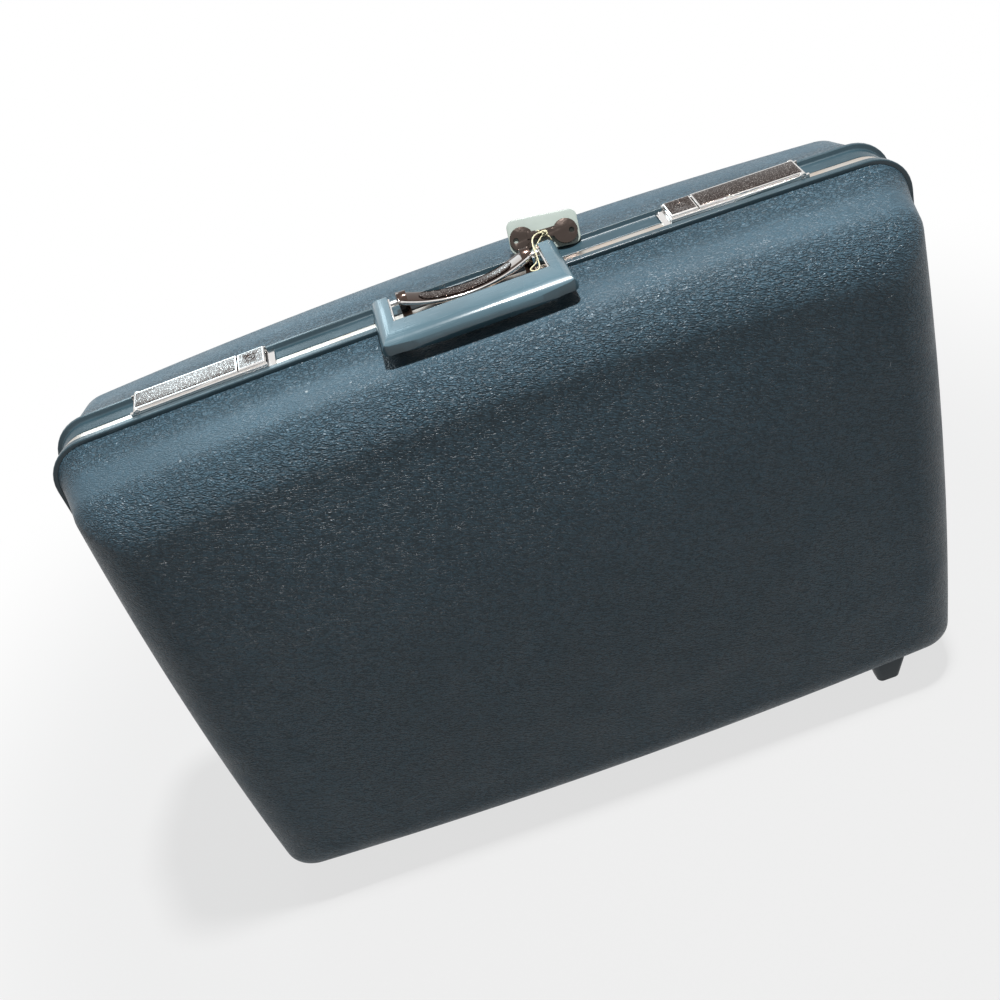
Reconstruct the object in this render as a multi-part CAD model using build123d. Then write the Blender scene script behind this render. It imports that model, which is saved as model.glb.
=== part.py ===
from build123d import *
from math import asin, cos, degrees, pi, radians, sin, sqrt, tan
import os

# Hard-shell suitcase standing on its feet: width along X, front at -Y, up along +Z, in millimetres.
# The origin is on the floor, under the parting plane (Y = 0) between the two halves.

# Outline of the rim, where the two halves meet
case_width = 660.0
case_height = 478.0
foot_clear = 12.0
rim_corner = 34.0
rim_bow_side = 2.0
rim_bow_top = 5.0

# Moulded half shell, measured from the rim's outer edge
channel_depth = 37.0
half_depth = 75.0
face_crown = 7.0
shell_wall = 3.0
shell_step = 3.5
draft = 15.5
shoulder_radius = 39.5
face_corner = 16.0
shoulder_turns = (32.0, 48.0, 64.0, 86.0)
crown_shares = (0.82, 0.6, 0.35, 0.12)
shell_bow_side = 6.0
shell_bow_top = 12.0
bow_growth = 40.0

# Rim moulding, metal frame and smooth band in the channel between the shells
rim_width = 7.0
rim_bead = 1.8
rim_skin = 3.3
bead_stand = 0.7
rim_web = 1.5
channel_recess = 4.0
band_recess = 4.6
band_wall = 1.7
back_bead_drop = 1.0
band_web = 1.2
band_slope_start = 14.3
parting_gap = 1.8
frame_wall = 1.5
flange_inset = 7.2
flange_reach = 0.5
tongue_length = 2.5
groove_start = 12.0

# Soft lining inside each half
lining_gap = 0.6
lining_thick = 1.2
lining_edge = 1.6
soft_gap = 0.6

# Packing straps and pocket
strap_inset = 220.0
strap_width = 25.0
strap_thick = 1.6
buckle_length = 34.0
buckle_width = 40.0
buckle_bar = 5.0
buckle_thick = 3.0
pocket_inset = 105.0
pocket_top = 300.0
pocket_swell = 13.0
elastic_swell = 10.0
pocket_drop = 170.0
elastic_width = 14.0

# Feet
foot_inset = 77.0
foot_y_right = 61.0
foot_y_left = 39.0
foot_base = (20.0, 15.0)
foot_top = (40.0, 30.0)
foot_rise = 48.0
foot_round = 5.0
foot_edge = 2.0

# Bottom hinges
hinge_inset = 180.0
hinge_length = 64.0
hinge_knuckles = 5
hinge_radius = 3.4
hinge_pin_radius = 1.5
hinge_leaf = 1.4
hinge_reach = 11.0
knuckle_gap = 0.4
pin_clearance = 0.05
rivet_radius = 1.6
rivet_head_radius = 2.6
rivet_head = 0.8
rivet_length = 5.5

# Latches, in a local frame at the middle of the base plate, x pointing away from the handle
latch_inset = 128.5
latch_y = 1.5
latch_length = 109.0
latch_width = 24.8
latch_floor = 1.2
latch_wall = 1.4
latch_wall_height = 5.6
latch_top = 7.5
latch_side_gap = 0.2
lever_length = 80.0
lever_skin = 1.5
lever_lift = 0.5
button_length = 20.4
button_travel = 5.0
button_gap = 0.6
button_lift = 0.3
latch_knuckle_radius = 2.9
latch_pin_radius = 1.4
inlay_depth = 0.6
inlay_thick = 0.9
inlay_margin = 1.2
inlay_end = 0.5
hook_width = 4.0
hook_thick = 2.0
hook_depth = 9.0
hook_y = 6.0
hook_offset = 6.6
hook_clear = 1.2
strike_thick = 0.7
strike_margin = 5.0
lock_radius = 3.25
lock_stand = 0.0
keyway = (3.6, 0.9, 1.5)
latch_spring_thick = 0.5
latch_spring_width = 8.0
latch_spring_ends = (-4.0, 34.0)
latch_spring_foot = 10.0

# Saddle plate under the handle
saddle_gap = 5.6
saddle_width = 16.0
saddle_thick = 3.2
saddle_end_top = 10.4
saddle_mid_top = -1.6
saddle_seat_share = 0.42
post_width = 7.0
saddle_inlay_half = 40.0
saddle_inlay_width = 10.0
saddle_inlay_thick = 0.8
saddle_inlay_seat = 0.05

# Carrying handle, folded forward at rest
pivot_rise = 5.7
handle_slope = -2.0
handle_half = 71.0
arm_width = 14.0
handle_reach = 61.0
grip_width = 23.0
handle_top = 6.0
grip_bottom = 6.0
arm_bottom = 3.8
grip_belly = 4.5
grip_swell = 2.5
handle_round = 3.0
handle_corner = 6.0
pin_radius = 2.0
pin_depth = 8.0
lug_thick = 1.4
lug_width = 8.0
lug_foot = 12.0

# Tag and keys, tied to the handle's right post with a string
tag_size = (52.0, 26.0, 1.2)
tag_corner = 6.0
tag_middle = (66.0, 21.8, 8.0)
tag_lean = 40.0
tag_tilt = -8.0
key_bow_radius = 9.0
key_hole_radius = 2.0
key_blade = (20.0, 5.5)
key_thick = 1.6
key_gap = 0.25
key_places = [(-16.5, -2.5, 5.0), (15.5, -3.0, 176.0)]
knot_radius = 2.6
knot_middle = (65.6, 16.8, 9.8)
string_radius = 0.5
string_route = [(60.0, 14.0, 13.2), (54.8, 7.0, 13.6), (53.4, -0.5, 11.6), (53.4, -7.5, 8.6), (53.2, -12.6, 3.0),
                (52.0, -16.8, 1.8), (47.6, -17.6, 1.8), (45.2, -14.2, 2.2), (48.2, -11.2, 2.4), (52.4, -7.0, 2.0),
                (52.9, -0.5, 1.4), (53.4, 6.0, 2.0), (56.4, 10.8, 4.6), (60.6, 13.6, 7.4)]

# A length past every piece, for tools that cut through
far = 200.0

# Values worked out from the ones above
centre_z = foot_clear + case_height / 2
foot_x = case_width / 2 - foot_inset
hinge_x = case_width / 2 - hinge_inset
latch_x = case_width / 2 - latch_inset
pocket_half_width = case_width / 2 - pocket_inset
strap_offset = case_width / 2 - strap_inset
rim_half_x = case_width / 2 - rim_bow_side
rim_half_z = case_height / 2 - rim_bow_top
rim_y = channel_depth / 2
seam_y = parting_gap / 2
rim_top = centre_z + case_height / 2
strip_top = rim_top - channel_recess
hinge_z = foot_clear + channel_recess + rim_bow_top * (hinge_x - hinge_length / 2) ** 2 / rim_half_x ** 2
hinge_z = hinge_z - hinge_radius
pivot_z = rim_top + pivot_rise
lining_face = shell_wall + lining_gap + lining_thick
arm_inner = handle_half - arm_width
grip_inner = handle_reach - grip_width
saddle_half = arm_inner - lug_thick - saddle_gap


def section(half_x, half_z, bow_x, bow_z, corner, y):
    """Rounded rectangle with bowed sides, in the plane at y, about the case's centre height."""
    corners = [(-half_x, half_z), (half_x, half_z), (half_x, -half_z), (-half_x, -half_z)]
    middles = [(0, half_z + bow_z), (half_x + bow_x, 0), (0, -half_z - bow_z), (-half_x - bow_x, 0)]
    sides = [ThreePointArc(corners[k], middles[k], corners[(k + 1) % 4]) for k in range(4)]
    face = make_face(sides)
    face = fillet(face.vertices(), corner)
    return Plane(origin=(0, y, centre_z), x_dir=(1, 0, 0), z_dir=(0, -1, 0)) * face


def rim_section(inset, y):
    """The rim's outline, drawn inwards by inset."""
    return section(rim_half_x - inset, rim_half_z - inset, rim_bow_side, rim_bow_top, rim_corner - inset, y)


def prism(inset, y_front, y_back):
    return extrude(rim_section(inset, y_back), amount=y_back - y_front)


def band(inset_out, inset_in, y_front, y_back):
    """Ring between two insets, from y_front to y_back."""
    return prism(inset_out, y_front, y_back) - prism(inset_in, y_front, y_back)


def wall_profile(move):
    """Depth and inset along the shell's side, from the rim to the face, moved inwards by move."""
    lean = radians(draft)
    radius = shoulder_radius - move
    start = shell_step + move / cos(lean)
    turn = half_depth - move - radius * (1 - sin(lean))
    points = [(turn * k / 3, start + turn * k / 3 * tan(lean)) for k in range(4)]
    for turned in shoulder_turns:
        angle = radians(turned)
        points.append((turn + radius * (sin(angle) - sin(lean)), start + turn * tan(lean) + radius * (cos(lean) - cos(angle))))
    return points


def form_section(depth, inset, move):
    """Outline of the shell at a depth past the rim, with the bow that grows away from the rim."""
    grown = min(1.0, depth / bow_growth)
    grown = grown * grown * (3 - 2 * grown)
    bow_x = rim_bow_side + (shell_bow_side - rim_bow_side) * grown
    bow_z = rim_bow_top + (shell_bow_top - rim_bow_top) * grown
    corner = rim_corner - shell_step - move + depth / half_depth * (face_corner - rim_corner + shell_step)
    return rim_half_x - inset, rim_half_z - inset, bow_x, bow_z, corner


def shell_form(move, start_depth=0.0):
    """Front half's outer form, moved inwards by move, as a solid that starts at a depth past the rim."""
    walls = []
    for depth, inset in wall_profile(move):
        if depth == 0:
            depth, inset = start_depth, inset + start_depth * tan(radians(draft))
        sizes = form_section(depth, inset, move)
        walls.append(section(*sizes, -rim_y - depth))
    crown = [walls[-1]]
    for share in crown_shares:
        y = -rim_y - depth - face_crown * (1 - share * share)
        crown.append(section(*[size * share for size in sizes], y))
    wall_faces = loft(walls).faces().sort_by(Axis.Y)
    crown_faces = loft(crown).faces().sort_by(Axis.Y)
    return Solid(Shell(wall_faces[1:] + crown_faces[:-1]))


def face_depth(x, z_offset, move):
    """Distance from the parting plane to the crowned face at a place on it, moved inwards by move."""
    depth, inset = wall_profile(move)[-1]
    half_x, half_z, bow_x, bow_z, corner = form_section(depth, inset, move)
    share = max(abs(x) / (half_x + bow_x), abs(z_offset) / (half_z + bow_z))
    return rim_y + depth + face_crown * (1 - share * share)


def hollow(move_out, move_in, start_depth=0.0, edge_length=0.0):
    """Thin shell between two moves of the form, with a straight edge of edge_length at its mouth."""
    faces = []
    mouths = []
    for move in (move_out, move_in):
        solid = shell_form(move, start_depth)
        mouth = solid.faces().sort_by(Axis.Y)[-1]
        faces += [face for face in solid.faces() if not face.is_same(mouth)]
        if edge_length > 0:
            straight = extrude(mouth, amount=edge_length, dir=(0, 1, 0))
            faces += [face for face in straight.faces() if abs(face.normal_at().Y) < 0.5]
            mouth = straight.faces().sort_by(Axis.Y)[-1]
        mouths.append(mouth.outer_wire())
    faces.append(Face(mouths[0], [mouths[1]]))
    return Solid(Shell(faces))


def back(shape):
    """The same form on the back half."""
    return mirror(shape, Plane.XZ)


def box_at(x, y, z):
    """Box between pairs of limits."""
    size = [limits[1] - limits[0] for limits in (x, y, z)]
    middle = [(limits[0] + limits[1]) / 2 for limits in (x, y, z)]
    return Pos(*middle) * Box(*size)


def rod(start, end, radius):
    """Cylinder between two points."""
    axis = Vector(*end) - Vector(*start)
    return extrude(Plane(origin=start, z_dir=axis) * Circle(radius), amount=axis.length)


def rivet(base, direction, length):
    """Shank from base along direction, with a low domed head behind base."""
    tip = Vector(*base) + Vector(*direction) * length
    head_end = Vector(*base) - Vector(*direction) * rivet_head
    head = rod(head_end.to_tuple(), base, rivet_head_radius)
    rim_edge = head.edges().filter_by(GeomType.CIRCLE).sort_by_distance(head_end)[0]
    return rod(base, tip.to_tuple(), rivet_radius) + fillet(rim_edge, rivet_head * 0.6)


def half_shell():
    """Moulded shell with the straight edge that the rim and the frame hold."""
    return hollow(0, shell_wall, edge_length=rim_width - rim_web)


def front_rim():
    web_back = -(rim_y - rim_width)
    skin = band(bead_stand, rim_skin, -rim_y + rim_bead, web_back)
    bead = band(0, rim_skin, -rim_y, -rim_y + rim_bead)
    web = band(rim_skin, flange_inset, web_back - rim_web, web_back)
    return skin + bead + web


def front_frame():
    strip_front = -(rim_y - rim_width)
    flange_in = flange_inset + frame_wall
    strip = band(channel_recess, channel_recess + frame_wall, strip_front, -seam_y)
    front_web = band(channel_recess + frame_wall, flange_in, strip_front, strip_front + frame_wall)
    back_web = band(channel_recess + frame_wall, flange_in, -seam_y - frame_wall, -seam_y)
    flange = band(flange_inset, flange_in, -rim_y - flange_reach, strip_front)
    tongue = band(flange_inset, flange_in, -seam_y, tongue_length)
    return strip + front_web + back_web + flange + tongue


def back_band():
    """Smooth band of the back half, rising to the bead beside the grained shell."""
    inner = band_recess + band_wall
    bead_start = rim_y - rim_skin
    web_end = bead_start + band_web
    slope = loft([rim_section(band_recess, band_slope_start), rim_section(back_bead_drop + 0.4, bead_start)])
    slope = slope - prism(inner, band_slope_start, bead_start)
    bead = band(back_bead_drop, rim_skin, bead_start, rim_y)
    web = band(rim_skin, inner, bead_start, web_end)
    return band(band_recess, inner, seam_y, bead_start) + slope + bead + web


def back_frame():
    flange_in = flange_inset + frame_wall
    web = band(band_recess + band_wall, flange_in, groove_start, groove_start + frame_wall)
    return web + band(flange_inset, flange_in, groove_start, rim_y + flange_reach)


def back_shell():
    """The back half's shell: its edge stops at the band's web."""
    return back(hollow(0, shell_wall, edge_length=rim_skin - band_web))


def lining():
    outer = shell_wall + lining_gap
    return hollow(outer, outer + lining_thick, start_depth=lining_edge)


def strap(side):
    """Flat strap that follows the lining from the top wall over the face to the bottom wall."""
    x = side * strap_offset
    lines = []
    for move in (lining_face + soft_gap, lining_face + soft_gap + strap_thick):
        points = []
        for depth, inset in wall_profile(move)[2:]:
            half_x, half_z, bow_x, bow_z, corner = form_section(depth, inset, move)
            points.append((rim_y + depth, half_z + bow_z * (1 - (x / half_x) ** 2)))
        edge_z = points[-1][1]
        for share in (0.8, 0.6, 0.4, 0.2, 0):
            points.append((face_depth(x, edge_z * share, move), edge_z * share))
        points += [(y, -z) for y, z in reversed(points[:-1])]
        lines.append(points)
    outer, inner = [Spline(*[(-y, z) for y, z in points]) for points in lines]
    ends = [Line(outer @ k, inner @ k) for k in (0, 1)]
    face = make_face([outer, ends[0], inner, ends[1]])
    plane = Plane(origin=(x - strap_width / 2, 0, centre_z), x_dir=(0, 1, 0), z_dir=(1, 0, 0))
    return extrude(plane * face, amount=strap_width)


def buckle(side):
    """Two-bar frame that lies on a strap at the middle of the compartment."""
    x = side * strap_offset
    face_y = -face_depth(x, 0, lining_face + soft_gap + strap_thick)
    y_limits = (face_y + soft_gap, face_y + soft_gap + buckle_thick)
    half = (buckle_width / 2, buckle_length / 2)
    frame = box_at((x - half[0], x + half[0]), y_limits, (centre_z - half[1], centre_z + half[1]))
    frame = fillet(frame.edges().filter_by(Axis.Y), 4)
    for z_side in (-1, 1):
        limits = sorted((z_side * buckle_bar / 2, z_side * (half[1] - buckle_bar)))
        frame -= box_at((x - half[0] + buckle_bar, x + half[0] - buckle_bar), (y_limits[0] - 1, y_limits[1] + 1),
                        (centre_z + limits[0], centre_z + limits[1]))
    return frame


def pocket_pad(z_limits, front_y):
    """Part of the space in front of the lid's lining, as a pad that follows its crown."""
    region = box_at((-pocket_half_width, pocket_half_width), (-case_width, -front_y), z_limits)
    return back(shell_form(lining_face + soft_gap) & region)


def pocket():
    """Gathered pocket on the lid's lining, which covers the lower part of its face."""
    low = centre_z - pocket_drop
    return pocket_pad((low, pocket_top - elastic_width), face_depth(0, 0, lining_face) - pocket_swell)


def pocket_elastic():
    return pocket_pad((pocket_top - elastic_width, pocket_top), face_depth(0, 0, lining_face) - elastic_swell)


def foot(side_x, side_y):
    """Tapered foot, seated on the underside of a shell: the left pair stands nearer to the rim."""
    foot_y = foot_y_right if side_x > 0 else foot_y_left
    low = Pos(side_x * foot_x, -foot_y, 0) * RectangleRounded(*foot_base, foot_round)
    high = Pos(side_x * foot_x, -foot_y, foot_rise) * RectangleRounded(*foot_top, foot_round)
    block = loft([low, high])
    edge = block.faces().sort_by(Axis.Z)[0].edges()
    block = fillet(edge, foot_edge) - shell_form(0)
    solid = block.solids().sort_by(Axis.Z)[0]
    return back(solid) if side_y > 0 else solid


def strip_height(x):
    """Height of the metal strip's top surface at x, on the rim's bow."""
    half = rim_half_x - channel_recess
    radius = (half * half + rim_bow_top * rim_bow_top) / (2 * rim_bow_top)
    return strip_top - radius + sqrt(radius * radius - x * x)


def strip_tilt(x):
    half = rim_half_x - channel_recess
    radius = (half * half + rim_bow_top * rim_bow_top) / (2 * rim_bow_top)
    return asin(x / radius)


def knuckle_ranges(owner, x_middle):
    """X limits of the knuckles: the front leaf has the odd ones out and both ends."""
    pitch = hinge_length / hinge_knuckles
    start = x_middle - hinge_length / 2
    for k in range(owner, hinge_knuckles, 2):
        yield start + k * pitch + knuckle_gap / 2, start + (k + 1) * pitch - knuckle_gap / 2


def rivet_places(x_middle, side_y):
    y = side_y * (hinge_reach + hinge_radius) / 2
    return [(x_middle + step * hinge_length / 3, y, hinge_z + hinge_radius - hinge_leaf) for step in (-1, 0, 1)]


def hinge_leaf_solid(side_x, side_y):
    """Leaf on the channel's floor with its knuckles around the pin."""
    x = side_x * hinge_x
    top = hinge_z + hinge_radius
    near = hinge_radius + 0.5
    y_limits = sorted((side_y * near, side_y * hinge_reach))
    leaf = box_at((x - hinge_length / 2, x + hinge_length / 2), y_limits, (top - hinge_leaf, top))
    for x_low, x_high in knuckle_ranges(0 if side_y < 0 else 1, x):
        leaf += rod((x_low, 0, hinge_z), (x_high, 0, hinge_z), hinge_radius)
        leaf += box_at((x_low, x_high), sorted((0, side_y * near)), (top - hinge_leaf, top))
    bore = hinge_pin_radius + (0 if side_y < 0 else pin_clearance)
    leaf -= rod((x - hinge_length, 0, hinge_z), (x + hinge_length, 0, hinge_z), bore)
    for place in rivet_places(x, side_y):
        leaf -= rod(place, (place[0], place[1], place[2] + 10), rivet_radius)
    return leaf


def hinge_pin(side_x):
    x = side_x * hinge_x
    return rod((x - hinge_length / 2, 0, hinge_z), (x + hinge_length / 2, 0, hinge_z), hinge_pin_radius)


def hinge_rivets(side_y):
    shanks = []
    for side_x in (-1, 1):
        for place in rivet_places(side_x * hinge_x, side_y):
            shanks.append(rivet(place, (0, 0, 1), rivet_length))
    return shanks


def rivet_holes(side_y):
    holes = []
    for side_x in (-1, 1):
        for place in rivet_places(side_x * hinge_x, side_y):
            holes.append(rod(place, (place[0], place[1], place[2] + rivet_length), rivet_radius))
    return holes


latch_place = Location((latch_x, latch_y, strip_height(latch_x)), (0, degrees(strip_tilt(latch_x)), 0))
base_in = -latch_length / 2
base_out = latch_length / 2
lever_half_width = latch_width / 2 - latch_wall - latch_side_gap
latch_pin_x = base_out - latch_knuckle_radius - 2.0
latch_pin_z = latch_top - latch_knuckle_radius
lever_in = latch_pin_x - lever_length + latch_knuckle_radius
button_out = lever_in - button_gap
button_in = button_out - button_length
hook_x = lever_in + hook_offset
hook_local_y = hook_y - latch_y
latch_rivet_x = 15.0
latch_rivet_y = -5.8


def latch_base():
    half = latch_width / 2
    base = box_at((base_in, base_out), (-half, half), (0, latch_floor))
    for side in (-1, 1):
        wall = sorted((side * half, side * (half - latch_wall)))
        base += box_at((button_in - 1.0, base_out), wall, (0, latch_wall_height))
        base += rod((latch_pin_x, wall[0], latch_pin_z), (latch_pin_x, wall[1], latch_pin_z), latch_knuckle_radius)
    base -= rod((latch_pin_x, -half, latch_pin_z), (latch_pin_x, half, latch_pin_z), latch_pin_radius)
    window = hook_thick / 2 + hook_clear
    base -= box_at((hook_x - hook_width / 2 - hook_clear, hook_x + hook_width / 2 + hook_clear),
                   (hook_local_y - window, hook_local_y + window), (-1, latch_floor + 1))
    for x in (-latch_rivet_x, latch_rivet_x):
        base -= rod((x, latch_rivet_y, -1), (x, latch_rivet_y, latch_floor + 1), rivet_radius)
    return base


def latch_lever():
    low = latch_floor + lever_lift
    half = lever_half_width
    lever = box_at((lever_in, latch_pin_x), (-half, half), (low, latch_top))
    lever -= box_at((lever_in + lever_skin, latch_pin_x - 5), (-half + lever_skin, half - lever_skin), (0, latch_top - lever_skin))
    lever += rod((latch_pin_x, -half, latch_pin_z), (latch_pin_x, half, latch_pin_z), latch_knuckle_radius)
    lever -= rod((latch_pin_x, -half, latch_pin_z), (latch_pin_x, half, latch_pin_z), latch_pin_radius + pin_clearance)
    lever += box_at((hook_x - hook_width / 2, hook_x + hook_width / 2),
                    (hook_local_y - hook_thick / 2, hook_local_y + hook_thick / 2),
                    (latch_top - lever_skin - hook_depth, latch_top - lever_skin))
    lever -= inlay_box(latch_top - inlay_depth, latch_top + inlay_depth)
    return lever


def inlay_box(low, high):
    half = lever_half_width - inlay_margin
    return box_at((lever_in + inlay_margin, latch_pin_x + inlay_end), (-half, half), (low, high))


def latch_inlay():
    low = latch_top - inlay_depth
    plate = inlay_box(low, low + inlay_thick)
    return chamfer(plate.faces().sort_by(Axis.Z)[-1].edges(), 0.25)


def latch_button():
    low = latch_floor + button_lift
    half = lever_half_width
    block = box_at((button_in, button_out), (-half, half), (low, latch_top))
    block = chamfer(block.faces().sort_by(Axis.Z)[-1].edges(), 0.6)
    block -= box_at((button_in + lever_skin, button_out - lever_skin), (-half + lever_skin, half - lever_skin), (0, latch_top - 2))
    middle = (button_in + button_out) / 2
    return block - rod((middle, 0, 0), (middle, 0, latch_top + 1), lock_radius + pin_clearance)


def lock_cylinder():
    middle = (button_in + button_out) / 2
    low = latch_floor + 0.8
    top = latch_top + lock_stand
    barrel = rod((middle, 0, low), (middle, 0, top), lock_radius)
    cam = box_at((middle - 1.5, middle + 1.5), (0, 6.5), (low, low + 1.2))
    slot = box_at((middle - keyway[0] / 2, middle + keyway[0] / 2), (-keyway[1] / 2, keyway[1] / 2), (top - keyway[2], top + 1))
    return barrel + cam - slot


def latch_spring():
    """Leaf spring on the base plate that lifts the lever when the button lets go."""
    half = latch_spring_width / 2
    start, end = latch_spring_ends
    rise = start + latch_spring_foot
    top = latch_top - lever_skin - 0.3
    outline = [(start, latch_floor), (rise, latch_floor), (end, top - latch_spring_thick), (end, top),
               (rise, latch_floor + latch_spring_thick), (start, latch_floor + latch_spring_thick)]
    plane = Plane(origin=(0, half, 0), x_dir=(1, 0, 0), z_dir=(0, -1, 0))
    return extrude(plane * make_face(Polyline(*outline, close=True)), amount=latch_spring_width)


def latch_pin():
    half = latch_width / 2
    return rod((latch_pin_x, -half, latch_pin_z), (latch_pin_x, half, latch_pin_z), latch_pin_radius)


def latch_rivet_shapes():
    return [rivet((x, latch_rivet_y, latch_floor), (0, 0, -1), latch_floor + frame_wall + 0.5) for x in (-latch_rivet_x, latch_rivet_x)]


def sided(shape, side):
    """A latch piece put in its place on the right or the left."""
    placed = latch_place * shape
    return placed if side > 0 else mirror(placed, Plane.YZ)


def hook_notch(side):
    """Opening in the back band and its frame, behind the parting line, for the hook."""
    x = latch_x + hook_x
    half = hook_width / 2 + hook_clear + 0.6
    box = box_at((x - half, x + half), (seam_y - 1, hook_y + hook_thick / 2 + hook_clear), (strip_top - 14, strip_top + 2))
    return box if side > 0 else mirror(box, Plane.YZ)


def strike_plate(side):
    """Plate under the band around the notch, open towards the parting line."""
    x = latch_x + hook_x
    half = hook_width / 2 + hook_clear + strike_margin
    low, high = band_recess + band_wall, band_recess + band_wall + strike_thick
    y_limits = (tongue_length + 1.0, groove_start - 0.3)
    plate = band(low, high, *y_limits) & box_at((x - half, x + half), y_limits, (centre_z, rim_top))
    plate = plate - hook_notch(1)
    return plate if side > 0 else mirror(plate, Plane.YZ)


def saddle():
    """Chrome plate, hollowed like a saddle, with a post at each end for the handle's pins."""
    base_z = strip_top
    mid, end = rim_top + saddle_mid_top, rim_top + saddle_end_top
    upper = ThreePointArc((-saddle_half, end), (0, mid), (saddle_half, end))
    lower = ThreePointArc((saddle_half, end - saddle_thick), (0, mid - saddle_thick), (-saddle_half, end - saddle_thick))
    left = Line((-saddle_half, end - saddle_thick), (-saddle_half, end))
    right = Line((saddle_half, end), (saddle_half, end - saddle_thick))
    face = make_face([upper, right, lower, left])
    plane = Plane(origin=(0, saddle_width / 2, 0), x_dir=(1, 0, 0), z_dir=(0, -1, 0))
    plate = extrude(plane * face, amount=saddle_width)
    seat = saddle_half * saddle_seat_share
    plate += box_at((-seat, seat), (-saddle_width / 2, saddle_width / 2), (base_z, mid - saddle_thick / 2))
    above = extrude(plane * make_face([upper, Line((saddle_half, end), (saddle_half, end + far)),
                                       Line((saddle_half, end + far), (-saddle_half, end + far)),
                                       Line((-saddle_half, end + far), (-saddle_half, end))]), amount=saddle_width)
    plate = (plate - above) & box_at((-far, far), (-far, far), (base_z, rim_top + far))
    for side in (-1, 1):
        x_limits = sorted((side * saddle_half, side * (saddle_half - post_width)))
        radius = saddle_width / 2 - 1.5
        post = box_at(x_limits, (-radius, radius), (base_z, pivot_z))
        post += rod((x_limits[0], 0, pivot_z), (x_limits[1], 0, pivot_z), radius)
        plate += post
    bore = rod((-far, 0, pivot_z), (far, 0, pivot_z), pin_radius)
    return plate - bore


def saddle_inlay():
    """Textured strip along the saddle's hollow."""
    arcs = []
    for lift in (saddle_inlay_seat, saddle_inlay_seat + saddle_inlay_thick):
        mid, end = rim_top + saddle_mid_top + lift, rim_top + saddle_end_top + lift
        arcs.append(ThreePointArc((-saddle_half, end), (0, mid), (saddle_half, end)))
    sides = [Line(arcs[0] @ k, arcs[1] @ k) for k in (0, 1)]
    plane = Plane(origin=(0, saddle_inlay_width / 2, 0), x_dir=(1, 0, 0), z_dir=(0, -1, 0))
    strip = extrude(plane * make_face([arcs[0], sides[1], arcs[1], sides[0]]), amount=saddle_inlay_width)
    return strip & box_at((-saddle_inlay_half, saddle_inlay_half), (-saddle_width, saddle_width), (strip_top, rim_top + case_height))


handle_place = Location((0, 0, pivot_z), (handle_slope, 0, 0))


def handle_grip():
    """Bracket-shaped handle, drawn flat around its pivot and then sloped: y is minus the distance from it."""
    inner_half, inner_reach = arm_inner, grip_inner
    front = ThreePointArc((-handle_half, -handle_reach), (0, -handle_reach - grip_swell), (handle_half, -handle_reach))
    plan = make_face([front, Line((handle_half, -handle_reach), (handle_half, 0)), Line((handle_half, 0), (-handle_half, 0)),
                      Line((-handle_half, 0), (-handle_half, -handle_reach))])
    block = extrude(Pos(0, 0, -grip_bottom) * plan, amount=grip_bottom + handle_top)
    belly = make_face([ThreePointArc((-inner_half, -grip_bottom), (0, -grip_bottom - grip_belly), (inner_half, -grip_bottom)),
                       Line((inner_half, -grip_bottom), (inner_half, 0)), Line((inner_half, 0), (-inner_half, 0)),
                       Line((-inner_half, 0), (-inner_half, -grip_bottom))])
    belly_plane = Plane(origin=(0, -inner_reach - 3, 0), x_dir=(1, 0, 0), z_dir=(0, -1, 0))
    block += extrude(belly_plane * belly, amount=grip_width - 6)
    block -= box_at((-far, far), (-inner_reach + 2, far), (-far, -arm_bottom))
    outer_edges = block.edges().filter_by(Axis.Z).filter_by(lambda e: e.center().Y < -handle_reach + 2)
    block = fillet(outer_edges, handle_corner)
    top_edges = block.faces().sort_by(Axis.Z)[-1].edges()
    top_edges = top_edges.filter_by(lambda e: e.center().Y < -1)
    block = fillet(top_edges, handle_round)
    block -= box_at((-inner_half, inner_half), (-inner_reach, far), (-far, far))
    for side in (-1, 1):
        x_limits = sorted((side * handle_half, side * inner_half))
        block += rod((x_limits[0], 0, 0), (x_limits[1], 0, 0), handle_top)
        end = side * (inner_half + pin_depth + 0.5)
        block -= rod((side * (inner_half - 1), 0, 0), (end, 0, 0), pin_radius + pin_clearance)
    return handle_place * block


def handle_lug(side):
    """Chrome strap on an arm's inner face, turned along the grip at the corner."""
    inner_half, inner_reach = arm_inner, grip_inner
    plate = box_at((inner_half - lug_thick, inner_half), (-inner_reach, 0), (-arm_bottom, lug_width - arm_bottom))
    plate += rod((inner_half - lug_thick, 0, 0), (inner_half, 0, 0), lug_width / 2)
    plate += box_at((inner_half - lug_foot, inner_half), (-inner_reach, -inner_reach + lug_thick), (-arm_bottom, lug_width - arm_bottom))
    plate -= rod((inner_half - 5, 0, 0), (inner_half + 1, 0, 0), pin_radius + pin_clearance)
    plate = handle_place * plate
    return plate if side > 0 else mirror(plate, Plane.YZ)


def handle_pin(side):
    inner_half = arm_inner
    pin = rod((saddle_half - post_width, 0, pivot_z), (inner_half + pin_depth, 0, pivot_z), pin_radius)
    return pin if side > 0 else mirror(pin, Plane.YZ)


def tag_plane(offset):
    """Plane of the leaning tag, moved out along its normal."""
    x, y, z = tag_middle
    lean, tilt = radians(tag_lean), radians(tag_tilt)
    normal = (0, -cos(lean), sin(lean))
    origin = (x, y + normal[1] * offset, rim_top + z + normal[2] * offset)
    return Plane(origin=origin, x_dir=(cos(tilt), sin(tilt) * sin(lean), sin(tilt) * cos(lean)), z_dir=normal)


def key_tag():
    """Tag with round corners that stands on the band behind the handle and leans on its bead."""
    length, width, thick = tag_size
    tag = extrude(tag_plane(-thick / 2) * RectangleRounded(length, width, tag_corner), amount=thick)
    return chamfer(tag.edges().filter_by(lambda e: e.length > width / 3), thick / 4)


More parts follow.
